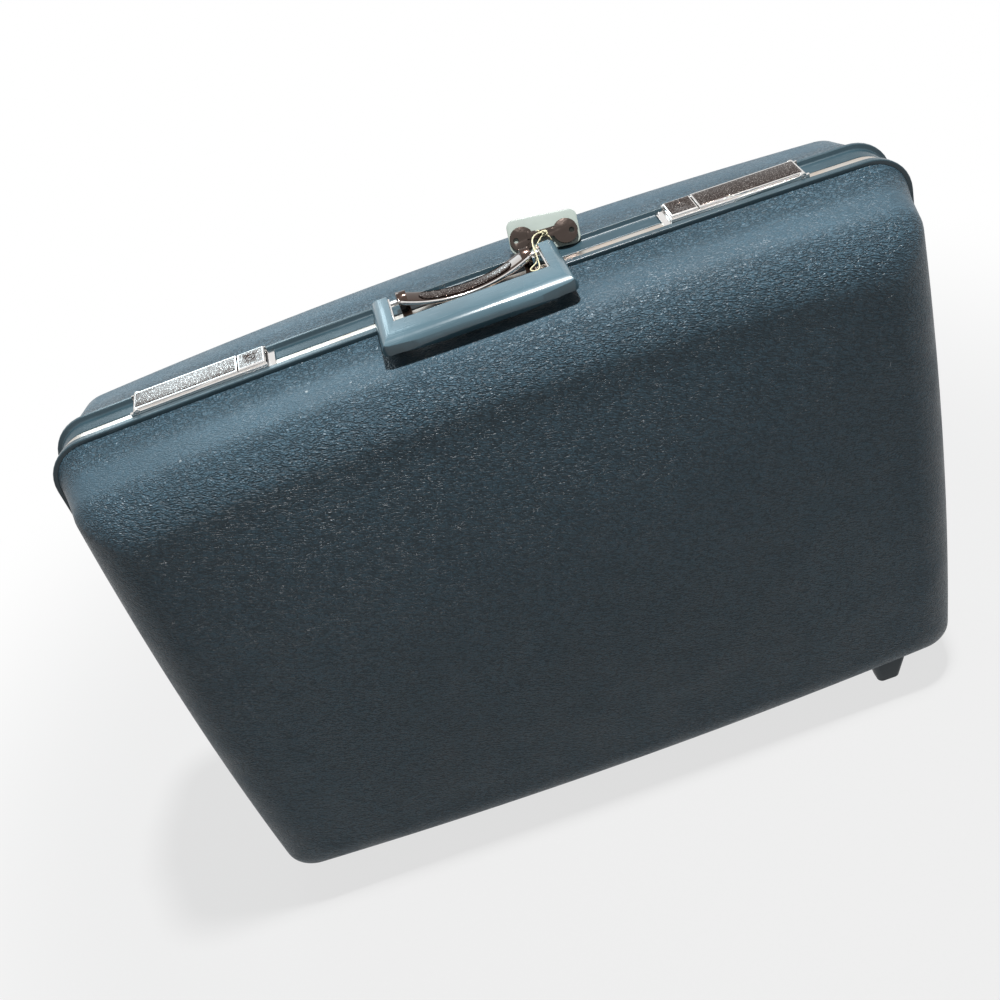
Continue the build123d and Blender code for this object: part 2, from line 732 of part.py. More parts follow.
def keys():
    """Two flat keys in front of the tag, one each way round."""
    shapes = []
    length, width = key_blade
    for order, (x, y, turn) in enumerate(key_places):
        offset = tag_size[2] / 2 + key_gap + order * (key_thick + key_gap)
        bow = Circle(key_bow_radius) - Pos(-key_bow_radius / 2, 0) * Circle(key_hole_radius)
        blade = Pos(key_bow_radius + length / 2 - 1, 0) * Rectangle(length, width)
        for step in range(3):
            notch = key_bow_radius + length * (0.4 + 0.2 * step)
            blade -= Pos(notch, -width / 2) * Rectangle(width / 3, width / 4 + width / 8 * (step % 2))
        outline = Pos(x, y) * Rot(0, 0, turn) * (bow + blade)
        shapes.append(extrude(tag_plane(offset) * outline, amount=key_thick))
    return shapes


def at_rim(point):
    return (point[0], point[1], point[2] + rim_top)


def string_knot():
    """Knot that gathers the string, the keys and the tag."""
    return Pos(*at_rim(knot_middle)) * Sphere(knot_radius)


def tag_string():
    """String from the knot over the post, in a loop in front of it and back to the knot."""
    middle = Vector(*at_rim(knot_middle))
    inner = [Vector(*at_rim(point)) for point in string_route]
    points = [middle + (inner[0] - middle).normalized() * knot_radius * 0.8] + inner
    points.append(middle + (inner[-1] - middle).normalized() * knot_radius * 0.8)
    radii = []
    for before, here, after in zip(points, points[1:], points[2:]):
        turn = radians((here - before).get_angle(after - here))
        shorter = min((here - before).length, (after - here).length)
        radii.append(0.45 * shorter / tan(turn / 2))
    print("string bend radii", [round(radius, 1) for radius in radii])
    path = FilletPolyline(*points, radius=radii)
    profile = Plane(origin=path @ 0, z_dir=path % 0) * Circle(string_radius)
    tube = sweep(profile, path=path)
    print("string length", round(path.length, 1), "volume by length", round(tube.volume / (pi * string_radius ** 2), 1))
    return tube


def build():
    """Every piece by its name."""
    nodes = {}
    frame = front_frame()
    band_part = back_band()
    frame_back = back_frame()
    for hole in rivet_holes(-1):
        frame -= hole
    for hole in rivet_holes(1):
        band_part -= hole
        frame_back -= hole
    latch_holes = [rod((x, latch_rivet_y, -8), (x, latch_rivet_y, 1), rivet_radius) for x in (-latch_rivet_x, latch_rivet_x)]
    for side in (-1, 1):
        band_part -= hook_notch(side)
        for hole in latch_holes:
            frame -= sided(hole, side)
    nodes["front_shell"] = half_shell()
    nodes["front_rim"] = front_rim()
    nodes["front_frame"] = frame
    nodes["front_lining"] = lining()
    nodes["back_shell"] = back_shell()
    nodes["back_band"] = band_part
    nodes["back_frame"] = frame_back
    nodes["back_lining"] = back(lining())
    nodes["pocket"] = pocket()
    nodes["pocket_elastic"] = pocket_elastic()
    for side, word in ((-1, "left"), (1, "right")):
        nodes["strap_" + word] = strap(side)
        nodes["buckle_" + word] = buckle(side)
        nodes["foot_front_" + word] = foot(side, -1)
        nodes["foot_back_" + word] = foot(side, 1)
        nodes["hinge_leaf_front_" + word] = hinge_leaf_solid(side, -1)
        nodes["hinge_leaf_back_" + word] = hinge_leaf_solid(side, 1)
        nodes["hinge_pin_" + word] = hinge_pin(side)
        nodes["latch_base_" + word] = sided(latch_base(), side)
        nodes["latch_lever_" + word] = sided(latch_lever(), side)
        nodes["latch_inlay_" + word] = sided(latch_inlay(), side)
        nodes["latch_button_" + word] = sided(latch_button(), side)
        nodes["latch_pin_" + word] = sided(latch_pin(), side)
        nodes["latch_spring_" + word] = sided(latch_spring(), side)
        nodes["lock_cylinder_" + word] = sided(lock_cylinder(), side)
        nodes["strike_plate_" + word] = strike_plate(side)
        nodes["handle_lug_" + word] = handle_lug(side)
        nodes["handle_pin_" + word] = handle_pin(side)
    nodes["saddle_plate"] = saddle()
    nodes["saddle_inlay"] = saddle_inlay()
    nodes["handle_grip"] = handle_grip()
    nodes["key_tag"] = key_tag() - string_knot()
    nodes["keys"] = Compound(children=[key - string_knot() for key in keys()])
    nodes["string_knot"] = string_knot()
    nodes["tag_string"] = tag_string()
    nodes["hinge_rivets_front"] = Compound(children=hinge_rivets(-1))
    nodes["hinge_rivets_back"] = Compound(children=hinge_rivets(1))
    nodes["latch_rivets"] = Compound(children=[sided(shape, side) for side in (-1, 1) for shape in latch_rivet_shapes()])
    return nodes


def main():
    os.makedirs("parts", exist_ok=True)
    for name, shape in build().items():
        export_step(shape, "parts/" + name + ".step")
        print(name)


main()
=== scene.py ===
from math import asin, atan2, cos, pi, radians, sin, sqrt, tan
import bmesh
import bpy
from mathutils import Matrix, Vector, noise


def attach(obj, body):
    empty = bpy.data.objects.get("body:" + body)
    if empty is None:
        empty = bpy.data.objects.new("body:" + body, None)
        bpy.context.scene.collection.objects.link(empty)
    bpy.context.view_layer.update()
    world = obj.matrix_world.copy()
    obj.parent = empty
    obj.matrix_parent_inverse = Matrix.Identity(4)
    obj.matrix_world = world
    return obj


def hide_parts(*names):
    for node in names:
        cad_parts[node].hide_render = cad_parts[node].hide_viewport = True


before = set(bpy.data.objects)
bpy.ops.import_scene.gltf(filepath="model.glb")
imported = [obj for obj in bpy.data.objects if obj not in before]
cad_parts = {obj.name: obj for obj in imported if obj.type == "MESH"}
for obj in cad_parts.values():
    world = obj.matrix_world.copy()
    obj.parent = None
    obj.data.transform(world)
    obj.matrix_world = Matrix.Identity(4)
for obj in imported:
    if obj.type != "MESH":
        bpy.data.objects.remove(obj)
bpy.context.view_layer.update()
mm = 0.001                                    # shapes are in millimetres, and addMesh puts them in metres
past = 100                                    # millimetres, beyond the end of any piece that a tool cuts
print("frame loaded:", len(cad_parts), "nodes")


# Meshes

def addPiece(name, mesh):
    piece = bpy.data.objects.new(name, mesh)
    bpy.context.scene.collection.objects.link(piece)
    return piece


def addMesh(name, points, faces, material=None, sharp=40):
    mesh = bpy.data.meshes.new(name)
    mesh.from_pydata([Vector(point) * mm for point in points], [], faces)
    piece = addPiece(name, mesh)
    if material:
        mesh.materials.append(material)
    return tidyMesh(piece, sharp)


def tidyMesh(piece, sharp=40):                # faces outward, and smooth over edges that turn less than sharp
    shape = bmesh.new()
    shape.from_mesh(piece.data)
    bmesh.ops.remove_doubles(shape, verts=shape.verts, dist=1e-6)
    bmesh.ops.recalc_face_normals(shape, faces=shape.faces)
    for face in shape.faces:
        face.smooth = True
    for edge in shape.edges:
        edge.smooth = len(edge.link_faces) == 2 and edge.calc_face_angle(0) < radians(sharp)
    shape.to_mesh(piece.data)
    shape.free()
    return piece


def applyAll(piece):
    bpy.context.view_layer.update()
    view = bpy.context.evaluated_depsgraph_get()
    mesh = bpy.data.meshes.new_from_object(piece.evaluated_get(view))
    piece.modifiers.clear()
    piece.data = mesh
    return piece


def combine(piece, tool, operation):          # the tool's object is used up
    change = piece.modifiers.new("combine", "BOOLEAN")
    change.object, change.operation, change.solver = tool, operation, "EXACT"
    applyAll(piece)
    bpy.data.objects.remove(tool)
    return tidyMesh(piece)


def soften(piece, width, segments=3, angle=35):
    edge = piece.modifiers.new("edge", "BEVEL")
    edge.width, edge.segments = width * mm, segments
    edge.limit_method, edge.angle_limit = "ANGLE", radians(angle)
    edge.miter_outer = "MITER_ARC"
    applyAll(piece)
    return tidyMesh(piece, sharp=50)


def loft(rings, loop=False, caps=False):      # quads between rings of equally many points
    count, size = len(rings), len(rings[0])
    points = [point for ring in rings for point in ring]
    faces = []
    for k in range(count if loop else count - 1):
        here, there = k * size, (k + 1) % count * size
        faces += [(here + j, here + (j + 1) % size, there + (j + 1) % size, there + j) for j in range(size)]
    if caps:
        faces += [tuple(range(size)), tuple(range((count - 1) * size, count * size))]
    return points, faces


def roundLoop(corners, steps=4):              # closed outline from (a, b, radius), with round corners
    points = []
    for k, (a, b, radius) in enumerate(corners):
        if radius == 0:
            points.append((a, b))
            continue
        here, before = Vector((a, b)), Vector(corners[k - 1][:2])
        after = Vector(corners[(k + 1) % len(corners)][:2])
        toBefore, toAfter = (before - here).normalized(), (after - here).normalized()
        half = toBefore.angle(toAfter) / 2
        middle = here + (toBefore + toAfter).normalized() * radius / sin(half)
        start, end = [here + way * radius / tan(half) - middle for way in (toBefore, toAfter)]
        first = atan2(start.y, start.x)
        sweep = (atan2(end.y, end.x) - first + pi) % (2 * pi) - pi
        for s in range(steps + 1):
            turn = first + sweep * s / steps
            points.append((middle.x + radius * cos(turn), middle.y + radius * sin(turn)))
    return points


def fromAbove(a, b, along):
    return a, b, along


def fromSide(a, b, along):
    return along, a, b


def fromFront(a, b, along):
    return a, along, b


def extrude(name, outline, place, low, high): # outline drawn as one of the three views above
    rings = [[place(a, b, along) for a, b in outline] for along in (low, high)]
    return addMesh(name, *loft(rings, caps=True))


def dress(piece, body, slotName, *nodes):     # rides on its body and stands for its nodes
    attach(piece, body)
    if nodes:
        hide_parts(*nodes)
    return piece


# Materials

class Field:                                  # a number, colour or vector over a surface
    def __init__(self, paint, socket):
        self.paint, self.socket = paint, socket

    def math(self, operation, first, second=0.0):
        return self.paint.node("Math", {"operation": operation}, {0: first, 1: second})

    def __add__(self, other):
        return self.math("ADD", self, other)

    def __radd__(self, other):
        return self.math("ADD", other, self)

    def __sub__(self, other):
        return self.math("SUBTRACT", self, other)

    def __rsub__(self, other):
        return self.math("SUBTRACT", other, self)

    def __mul__(self, other):
        return self.math("MULTIPLY", self, other)

    def __rmul__(self, other):
        return self.math("MULTIPLY", other, self)

    def most(self, other):
        return self.math("MAXIMUM", self, other)

    def unsigned(self):
        return self.math("ABSOLUTE", self)

    def wave(self):
        return self.math("SINE", self)

    def ramp(self, low, high, fromValue=0.0, toValue=1.0):   # clamped and eased between two values
        sockets = {"Value": self, "From Min": low, "From Max": high, "To Min": fromValue, "To Max": toValue}
        return self.paint.node("MapRange", {"interpolation_type": "SMOOTHSTEP"}, sockets)


class Paint:                                  # a material, or the world, and its nodes
    def __init__(self, name, world=None, **plain):
        self.material = world or bpy.data.materials.new(name)
        self.material.use_nodes = True
        self.tree = self.material.node_tree
        self.shader = self.tree.nodes["Background" if world else "Principled BSDF"]
        for socket, value in plain.items():
            self.shader.inputs[socket.replace("_", " ")].default_value = value

    def node(self, kind, settings=None, sockets=None, output=0):
        made = self.tree.nodes.new("ShaderNode" + kind)
        for name, value in (settings or {}).items():
            setattr(made, name, value)
        for name, value in (sockets or {}).items():
            self.join(made.inputs[name], value)
        return Field(self, made.outputs[output])

    def join(self, socket, value):
        if isinstance(value, Field):
            self.tree.links.new(value.socket, socket)
        else:
            socket.default_value = value

    def feed(self, **fields):
        for socket, value in fields.items():
            self.join(self.shader.inputs[socket.replace("_", " ")], value)

    def seen(self):                           # 1 for the rays that show a background
        kinds = ("Is Camera Ray", "Is Glossy Ray", "Is Transmission Ray")
        straight, byGloss, byGlass = [self.node("LightPath", output=kind) for kind in kinds]
        return straight.most(byGloss).most(byGlass)

    def place(self):                          # metres, in the row's own axes
        return self.node("TexCoord", output="Object")

    def stretch(self, vector, scale):
        return self.node("VectorMath", {"operation": "MULTIPLY"}, {0: vector, 1: scale})

    def axis(self, vector, index):
        return self.node("SeparateXYZ", sockets={0: vector}, output=index)

    def clouds(self, vector, scale, detail=2.0, output=0):
        sockets = {"Vector": vector, "Scale": scale, "Detail": detail}
        return self.node("TexNoise", sockets=sockets, output=output)

    def cells(self, vector, scale, feature="F1"):
        return self.node("TexVoronoi", {"feature": feature}, {"Vector": vector, "Scale": scale}, "Distance")

    def mix(self, share, first, second):      # sockets 6 and 7 take colours, and output 2 gives one
        return self.node("Mix", {"data_type": "RGBA"}, {0: share, 6: first, 7: second}, 2)

    def bump(self, height, depth, under=None):               # depth in millimetres for a height of 1
        sockets = {"Height": height, "Distance": depth * mm, "Strength": 1.0}
        if under:
            sockets["Normal"] = under
        return self.node("Bump", sockets=sockets)


def shade(colour, factor):
    return (colour[0] * factor, colour[1] * factor, colour[2] * factor, 1)


shellLook = dict(colour=(0.04, 0.075, 0.1), roughness=0.34, specular=0.2, warpsPerMetre=90, warp=0.0035,
                 slant=22, wrinklesAlong=0.27, wrinklesPerMetre=480, wrinkleWidth=0.11, wrinkleShare=0.75,
                 pebblesAlong=0.6, pebblesPerMetre=640, pebbleSeam=0.3, pebbleShare=0.45, grainDepth=0.7,
                 poresPerMetre=2600, poreDepth=0.05, calmFrom=0.042, calmTo=0.068, calmEdge=0.008, calm=0.4,
                 patchesPerMetre=9, darkPatch=0.88, palePatch=1.08, paintedSeamShade=0.4, paintedTopHighlight=1.5,
                 specksPerMetre=21, speckGapsPerMetre=60, speckShare=0.7, speckColour=(0.3, 0.34, 0.36, 1))


def grainedPlastic(look):                     # leather grain, with painted shade in its seams and a painted highlight on its tops, calmer along the middle of the side walls
    paint = Paint("grainedPlastic", Roughness=look["roughness"], Specular_IOR_Level=look["specular"])
    place, colour = paint.place(), look["colour"]
    sway = {0: paint.clouds(place, look["warpsPerMetre"], output=1), 1: (look["warp"],) * 3, 2: place}
    warped = paint.node("VectorMath", {"operation": "MULTIPLY_ADD"}, sway)
    turn = {"Vector": warped, "Angle": -radians(look["slant"])}
    slanted = paint.node("VectorRotate", {"rotation_type": "Y_AXIS"}, turn)
    long = paint.stretch(slanted, (look["wrinklesAlong"], 1, 1))
    contours = paint.clouds(long, look["wrinklesPerMetre"], 1.0) - 0.5
    wrinkles = contours.unsigned().ramp(0.0, look["wrinkleWidth"])
    long = paint.stretch(slanted, (look["pebblesAlong"], 1, 1))
    pebbles = paint.cells(long, look["pebblesPerMetre"], "DISTANCE_TO_EDGE").ramp(0.0, look["pebbleSeam"])
    depth, edge = paint.axis(place, 1).unsigned(), look["calmEdge"]
    calm = depth.ramp(look["calmFrom"] - edge, look["calmFrom"] + edge)
    calm = calm * depth.ramp(look["calmTo"] + edge, look["calmTo"] - edge)
    keep = 1 - calm * (1 - look["calm"])
    patches = paint.clouds(place, look["patchesPerMetre"], 3)
    grain = (pebbles * look["pebbleShare"] + wrinkles * look["wrinkleShare"]) * keep
    grain = grain * patches.ramp(0.2, 0.8, 0.8, 1.15)
    pores = paint.clouds(place, look["poresPerMetre"], 3)
    normal = paint.bump(pores, look["poreDepth"], paint.bump(grain, look["grainDepth"]))
    dark, pale = shade(colour, look["darkPatch"]), shade(colour, look["palePatch"])
    tone = paint.mix(patches.ramp(0.3, 0.72), dark, pale)
    # painted shade: the wrinkle and pebble seams are darkened in the colour
    tone = paint.mix(wrinkles.ramp(0.0, 0.9, 0.8, 0) * keep, tone, shade(colour, look["paintedSeamShade"]))
    tone = paint.mix(pebbles.ramp(0.0, 0.8, 0.4, 0) * keep, tone, shade(colour, look["paintedSeamShade"]))
    # painted highlight: the pebble tops beside the wrinkles are lightened in the colour
    tone = paint.mix(wrinkles.ramp(0.7, 1.0, 0.0, 0.4) * pebbles * keep, tone, shade(colour, look["paintedTopHighlight"]))
    gaps = paint.clouds(place, look["speckGapsPerMetre"]).ramp(0.5, 0.62)
    specks = paint.cells(place, look["specksPerMetre"]).ramp(0.028, 0.02) * gaps
    tone = paint.mix(specks * look["speckShare"], tone, look["speckColour"])
    rough = paint.clouds(place, 30, 4).ramp(0.3, 0.7, look["roughness"] - 0.05, look["roughness"] + 0.07)
    paint.feed(Base_Color=tone, Roughness=rough, Normal=normal)
    return paint.material


smoothLook = dict(cloudsPerMetre=24, scratchesPerMetre=900, scratchAlong=0.06, scratchShare=0.22,
                  scratchColour=(0.24, 0.29, 0.32, 1), ripplesPerMetre=160, rippleDepth=0.03,
                  poresPerMetre=1900, poreDepth=0.012, coatRoughness=0.12)


def smoothPlastic(name, colour, roughness, scuffs=0.5, coat=0.0):
    look = smoothLook
    paint = Paint(name, Roughness=roughness, Coat_Weight=coat, Coat_Roughness=look["coatRoughness"],
                  Specular_IOR_Level=0.35)
    place = paint.place()
    cloud = paint.clouds(place, look["cloudsPerMetre"], 4)
    lines = paint.clouds(paint.stretch(place, (look["scratchAlong"], 1, 1)), look["scratchesPerMetre"], 2)
    tone = paint.mix(cloud.ramp(0.25, 0.75), shade(colour, 0.9), shade(colour, 1.1))
    tone = paint.mix(lines.ramp(0.62, 0.74) * scuffs * look["scratchShare"], tone, look["scratchColour"])
    pores = paint.bump(paint.clouds(place, look["poresPerMetre"], 2), look["poreDepth"])
    ripple = paint.bump(paint.clouds(place, look["ripplesPerMetre"], 2), look["rippleDepth"], pores)
    rough = cloud.ramp(0.3, 0.75, roughness - 0.05, roughness + 0.1)
    paint.feed(Base_Color=tone, Roughness=rough, Normal=ripple)
    return paint.material


platingLook = dict(cloudsPerMetre=60, tarnishShare=0.35, ripplesPerMetre=220, dotsPerMetre=1100, dotShare=0.7,
                   dotTone=0.3, glintsPerMetre=1500, glintShare=0.8, glintColour=(0.8, 0.76, 0.73, 1))


def plating(name, colour, roughness, ripple=0.02, stipple=0.0, tarnish=(0.2, 0.16, 0.13)):
    look = platingLook
    paint = Paint(name, Metallic=1.0, Roughness=roughness)
    place = paint.place()
    cloud = paint.clouds(place, look["cloudsPerMetre"], 4)
    tone = paint.mix(cloud.ramp(0.55, 0.85, 0.0, look["tarnishShare"]), shade(colour, 1), (*tarnish, 1))
    normal = paint.bump(paint.clouds(place, look["ripplesPerMetre"], 2), ripple)
    if stipple:
        dots = paint.cells(place, look["dotsPerMetre"]).ramp(0.1, 0.65)
        normal = paint.bump(dots, stipple, normal)
        tone = paint.mix(dots.ramp(0.25, 0.9, 0.0, look["dotShare"]), tone, shade(colour, look["dotTone"]))
        # painted glints: small bright spots in the colour of the stippled metal
        glints = paint.clouds(place, look["glintsPerMetre"], 1).ramp(0.6, 0.72)
        tone = paint.mix(glints * look["glintShare"], tone, look["glintColour"])
    rough = cloud.ramp(0.3, 0.8, roughness, roughness + 0.12)
    paint.feed(Base_Color=tone, Roughness=rough, Normal=normal)
    return paint.material


drawnLook = dict(along=(0.02, 1, 1), linesPerMetre=1400, lineDepth=0.025, patchesPerMetre=35,
                 dullRoughness=0.2, dullTone=(0.72, 0.62, 0.54))


def drawnMetal(name, colour, roughness):      # fine lines along the strip, and dull patches
    look = drawnLook
    paint = Paint(name, Metallic=1.0, Roughness=roughness)
    place = paint.place()
    lines = paint.clouds(paint.stretch(place, look["along"]), look["linesPerMetre"], 3)
    dull = paint.clouds(place, look["patchesPerMetre"], 5).ramp(0.42, 0.72)
    dulled = [value * factor for value, factor in zip(colour, look["dullTone"])]
    tone = paint.mix(dull, shade(colour, 1), shade(dulled, 1))
    rough = dull * look["dullRoughness"] + roughness
    paint.feed(Base_Color=tone, Roughness=rough, Normal=paint.bump(lines, look["lineDepth"]))
    return paint.material


clothLook = dict(cloudsPerMetre=14, darkPatch=0.9, palePatch=1.06, gapTone=0.7, gapShare=0.25, underRibs=0.3)


def cloth(name, colour, sheen, weave=1700, weaveDepth=0.05, roughness=0.6, ribs=None):
    look = clothLook
    paint = Paint(name, Roughness=roughness, Sheen_Weight=sheen)
    place = paint.place()
    waves = [paint.axis(paint.stretch(place, (weave,) * 3), k).wave() for k in range(3)]
    threads = waves[0] * waves[2] + waves[1] * waves[2]
    if ribs:
        threads = threads * look["underRibs"] + paint.axis(paint.stretch(place, (ribs,) * 3), 2).wave()
    cloud = paint.clouds(place, look["cloudsPerMetre"], 3)
    dark, pale = shade(colour, look["darkPatch"]), shade(colour, look["palePatch"])
    tone = paint.mix(cloud.ramp(0.3, 0.7), dark, pale)
    tone = paint.mix(threads.ramp(-1, 1, look["gapShare"], 0), tone, shade(colour, look["gapTone"]))
    paint.feed(Base_Color=tone, Normal=paint.bump(threads, weaveDepth))
    return paint.material


grained = grainedPlastic(shellLook)
rimPlastic = smoothPlastic("rimPlastic", (0.021, 0.044, 0.057), 0.28)
handlePlastic = smoothPlastic("handlePlastic", (0.05, 0.097, 0.122), 0.25, scuffs=0.8, coat=0.35)
footPlastic = smoothPlastic("footPlastic", (0.016, 0.026, 0.033), 0.5)
brightPlate = plating("brightPlate", (0.78, 0.76, 0.74), 0.07)
# chrome darkened to stand for the dark reflections on it: a painted dark reflection
chromeDarkReflection = plating("chromeDarkReflection", (0.085, 0.06, 0.05), 0.09, tarnish=(0.04, 0.028, 0.024))
# stippled chrome, darkened to stand for the dark reflections on it: the stipple is real, the dark colour is a
# painted dark reflection
stippleDarkReflection = plating("stippleDarkReflection", (0.085, 0.062, 0.053), 0.09, stipple=0.05,
                        tarnish=(0.04, 0.03, 0.026))
hingeSteel = plating("hingeSteel", (0.5, 0.5, 0.5), 0.34, ripple=0.04)
stripMetal = drawnMetal("stripMetal", (0.62, 0.58, 0.53), 0.3)
innerMetal = drawnMetal("innerMetal", (0.5, 0.51, 0.52), 0.4)
liningSatin = cloth("liningSatin", (0.3, 0.335, 0.37), 0.5, roughness=0.42)
pocketSatin = cloth("pocketSatin", (0.27, 0.305, 0.345), 0.5, roughness=0.42)
elasticWeb = cloth("elasticWeb", (0.2, 0.235, 0.275), 0.2, ribs=4200, weaveDepth=0.12)
strapWeb = cloth("strapWeb", (0.07, 0.105, 0.14), 0.2, ribs=3200, weaveDepth=0.16)
tagCard = smoothPlastic("tagCard", (0.25, 0.29, 0.265), 0.35, scuffs=0.3)
keyMetal = plating("keyMetal", (0.07, 0.055, 0.048), 0.14, ripple=0.2, tarnish=(0.03, 0.024, 0.02))
stringCotton = cloth("stringCotton", (0.66, 0.62, 0.4), 0.3, weave=5200, weaveDepth=0.12, roughness=0.85)
print("materials made:", len(bpy.data.materials))


# The case's outlines, in millimetres from the floor and the parting plane

case = dict(width=660, height=478, footClear=12, corner=34, bowSide=2, bowTop=5, channel=37)
shell = dict(halfDepth=75, crown=7, wall=3, step=3.5, draft=15.5, shoulder=39.5, shoulderEnd=86,
             faceCorner=16, bowSide=6, bowTop=12, bowGrowth=40, hollow=0.9, frontLip=5.5, backLip=2.1,
             wallSteps=12, shoulderSteps=18, faceRings=24, faceEnd=24.6)
centreZ = case["footClear"] + case["height"] / 2
rimHalfX = case["width"] / 2 - case["bowSide"]
rimHalfZ = case["height"] / 2 - case["bowTop"]
rimY = case["channel"] / 2
rimTop = centreZ + case["height"] / 2


def bowedLoop(halfX, halfZ, bowX, bowZ, corner, y, topSteps=22, sideSteps=15, cornerSteps=10):
    onTop, onSide = halfX - corner, halfZ - corner           # where the corner's arc leaves the two sides
    for attempt in range(14):                 # each brings the arc closer to touching both sides
        up = Vector((2 * bowZ * onTop / halfX ** 2, 1)).normalized()
        out = Vector((1, 2 * bowX * onSide / halfZ ** 2)).normalized()
        middle = Vector((halfX + bowX * (1 - (onSide / halfZ) ** 2) - corner * out.x,
                         halfZ + bowZ * (1 - (onTop / halfX) ** 2) - corner * up.y))
        onTop, onSide = middle.x + corner * up.x, middle.y + corner * out.y
    quarter = []
    for k in range(topSteps):
        x = onTop * k / topSteps
        quarter.append((x, halfZ + bowZ * (1 - (x / halfX) ** 2)))
    first, last = atan2(up.y, up.x), atan2(out.y, out.x)
    for k in range(cornerSteps + 1):
        turn = first + (last - first) * k / cornerSteps
        quarter.append((middle.x + corner * cos(turn), middle.y + corner * sin(turn)))
    for k in range(1, sideSteps + 1):
        z = onSide * (1 - k / sideSteps)
        quarter.append((halfX + bowX * (1 - (z / halfZ) ** 2), z))
    loop = quarter + [(x, -z) for x, z in quarter[-2::-1]]
    loop += [(-x, z) for x, z in loop[-2:0:-1]]
    return [(x, y, centreZ + z) for x, z in loop]


def rimLoop(inset, y):
    halfX, halfZ, corner = rimHalfX - inset, rimHalfZ - inset, case["corner"] - inset
    return bowedLoop(halfX, halfZ, case["bowSide"], case["bowTop"], corner, y)


def sweepRim(name, corners, material, steps): # (y, inset, radius) corners carried round the rim
    rings = [rimLoop(inset, y) for y, inset in roundLoop(corners, steps)]
    return addMesh(name, *loft(rings, loop=True), material, sharp=50)


def wallPath(move, hollow):                   # (depth, inset) down the leaning wall and round the shoulder
    lean = radians(shell["draft"])
    radius = shell["shoulder"] - move
    start = shell["step"] + move / cos(lean)
    turn = shell["halfDepth"] - move - radius * (1 - sin(lean))
    path = []
    for k in range(shell["wallSteps"] + 1):
        share = k / shell["wallSteps"]
        path.append((turn * share, start + turn * share * tan(lean) + hollow * sin(pi * share)))
    for k in range(1, shell["shoulderSteps"] + 1):
        angle = lean + (radians(shell["shoulderEnd"]) - lean) * k / shell["shoulderSteps"]
        depth = turn + radius * (sin(angle) - sin(lean))
        path.append((depth, start + turn * tan(lean) + radius * (cos(lean) - cos(angle))))
    return path


def formSizes(depth, inset, move):            # what bowedLoop takes, at a depth behind the rim
    grown = min(1.0, depth / shell["bowGrowth"])
    grown = grown * grown * (3 - 2 * grown)
    bowX = case["bowSide"] + (shell["bowSide"] - case["bowSide"]) * grown
    bowZ = case["bowTop"] + (shell["bowTop"] - case["bowTop"]) * grown
    corner = case["corner"] - shell["step"] - move
    corner += depth / shell["halfDepth"] * (shell["faceCorner"] - case["corner"] + shell["step"])
    return rimHalfX - inset, rimHalfZ - inset, bowX, bowZ, corner


def crownAt(u, v, share):
    return shell["crown"] * max(0, 1 - u * u) * max(0, 1 - v * v) * (1 - share ** 8)


def formRings(move, hollow=0.0, startDepth=0.0, lip=0.0):    # the front half, from its mouth to its middle
    rings = []
    path = [point for point in wallPath(move, hollow) if point[0] > startDepth + 0.5]
    first = wallPath(move, 0)[0][1] + startDepth * tan(radians(shell["draft"]))
    path.insert(0, (startDepth, first))
    if lip:
        sizes = formSizes(startDepth, first, move)
        rings.append(bowedLoop(*sizes, -rimY - startDepth + lip))
    for depth, inset in path:
        sizes = formSizes(depth, inset, move)
        rings.append(bowedLoop(*sizes, -rimY - depth))
    face, halfX, halfZ = -rimY - depth, sizes[0] + sizes[2], sizes[1] + sizes[3]
    for k in range(1, shell["faceRings"] + 1):
        share = 1 - k / shell["faceEnd"]
        ring = bowedLoop(*[size * share for size in sizes], 0)
        rings.append([(x, face - crownAt(x / halfX, (z - centreZ) / halfZ, share), z) for x, _, z in ring])
    return rings


def flip(points):                             # the same on the back half
    return [(x, -y, z) for x, y, z in points]


def thinForm(name, outer, inner, material, sideY):           # closed sheet between two sets of rings
    points, faces = loft(outer[::-1] + inner, caps=True)
    return addMesh(name, flip(points) if sideY > 0 else points, faces, material)


def buildShells():
    for name, side, body, node, lip in (("frontShell", -1, "front_half", "front_shell", shell["frontLip"]),
                                        ("backShell", 1, "lid", "back_shell", shell["backLip"])):
        outer = formRings(0, shell["hollow"], lip=lip)
        inner = formRings(shell["wall"], shell["hollow"], lip=lip)
        dress(thinForm(name, outer, inner, grained, side), body, "shell", node)
    print("shells done")


# Corners of what runs round the rim, each as y from the parting plane, inset from the outline, and radius

sections = dict(
    frontRim=[(-18.5, 3.3, 0), (-18.5, 0, 0.9), (-16.3, 0, 0.8), (-15.9, 0.85, 0.3), (-11.5, 0.75, 0.9),
              (-11.5, 7.2, 0), (-13, 7.2, 0), (-13, 3.3, 0)],
    frontFrame=[(-11.5, 4, 0.3), (-0.9, 4, 0.5), (-0.9, 7.2, 0), (2.5, 7.2, 0.4), (2.5, 8.7, 0.4),
                (-2.4, 8.7, 0.3), (-2.4, 5.5, 0.3), (-10, 5.5, 0.3), (-10, 8.7, 0.3), (-19, 8.7, 0.4),
                (-19, 7.2, 0.4), (-11.5, 7.2, 0)],
    backBand=[(0.9, 4.6, 0.7), (14.3, 4.6, 1.6), (15.4, 1.0, 0.7), (18.5, 1.0, 0.9), (18.5, 3.3, 0),
              (16.4, 3.3, 0), (16.4, 6.3, 0), (0.9, 6.3, 0.3)],
    backFrame=[(12, 6.3, 0), (13.5, 6.3, 0), (13.5, 7.2, 0), (19, 7.2, 0.4), (19, 8.7, 0.4), (12, 8.7, 0.4)])


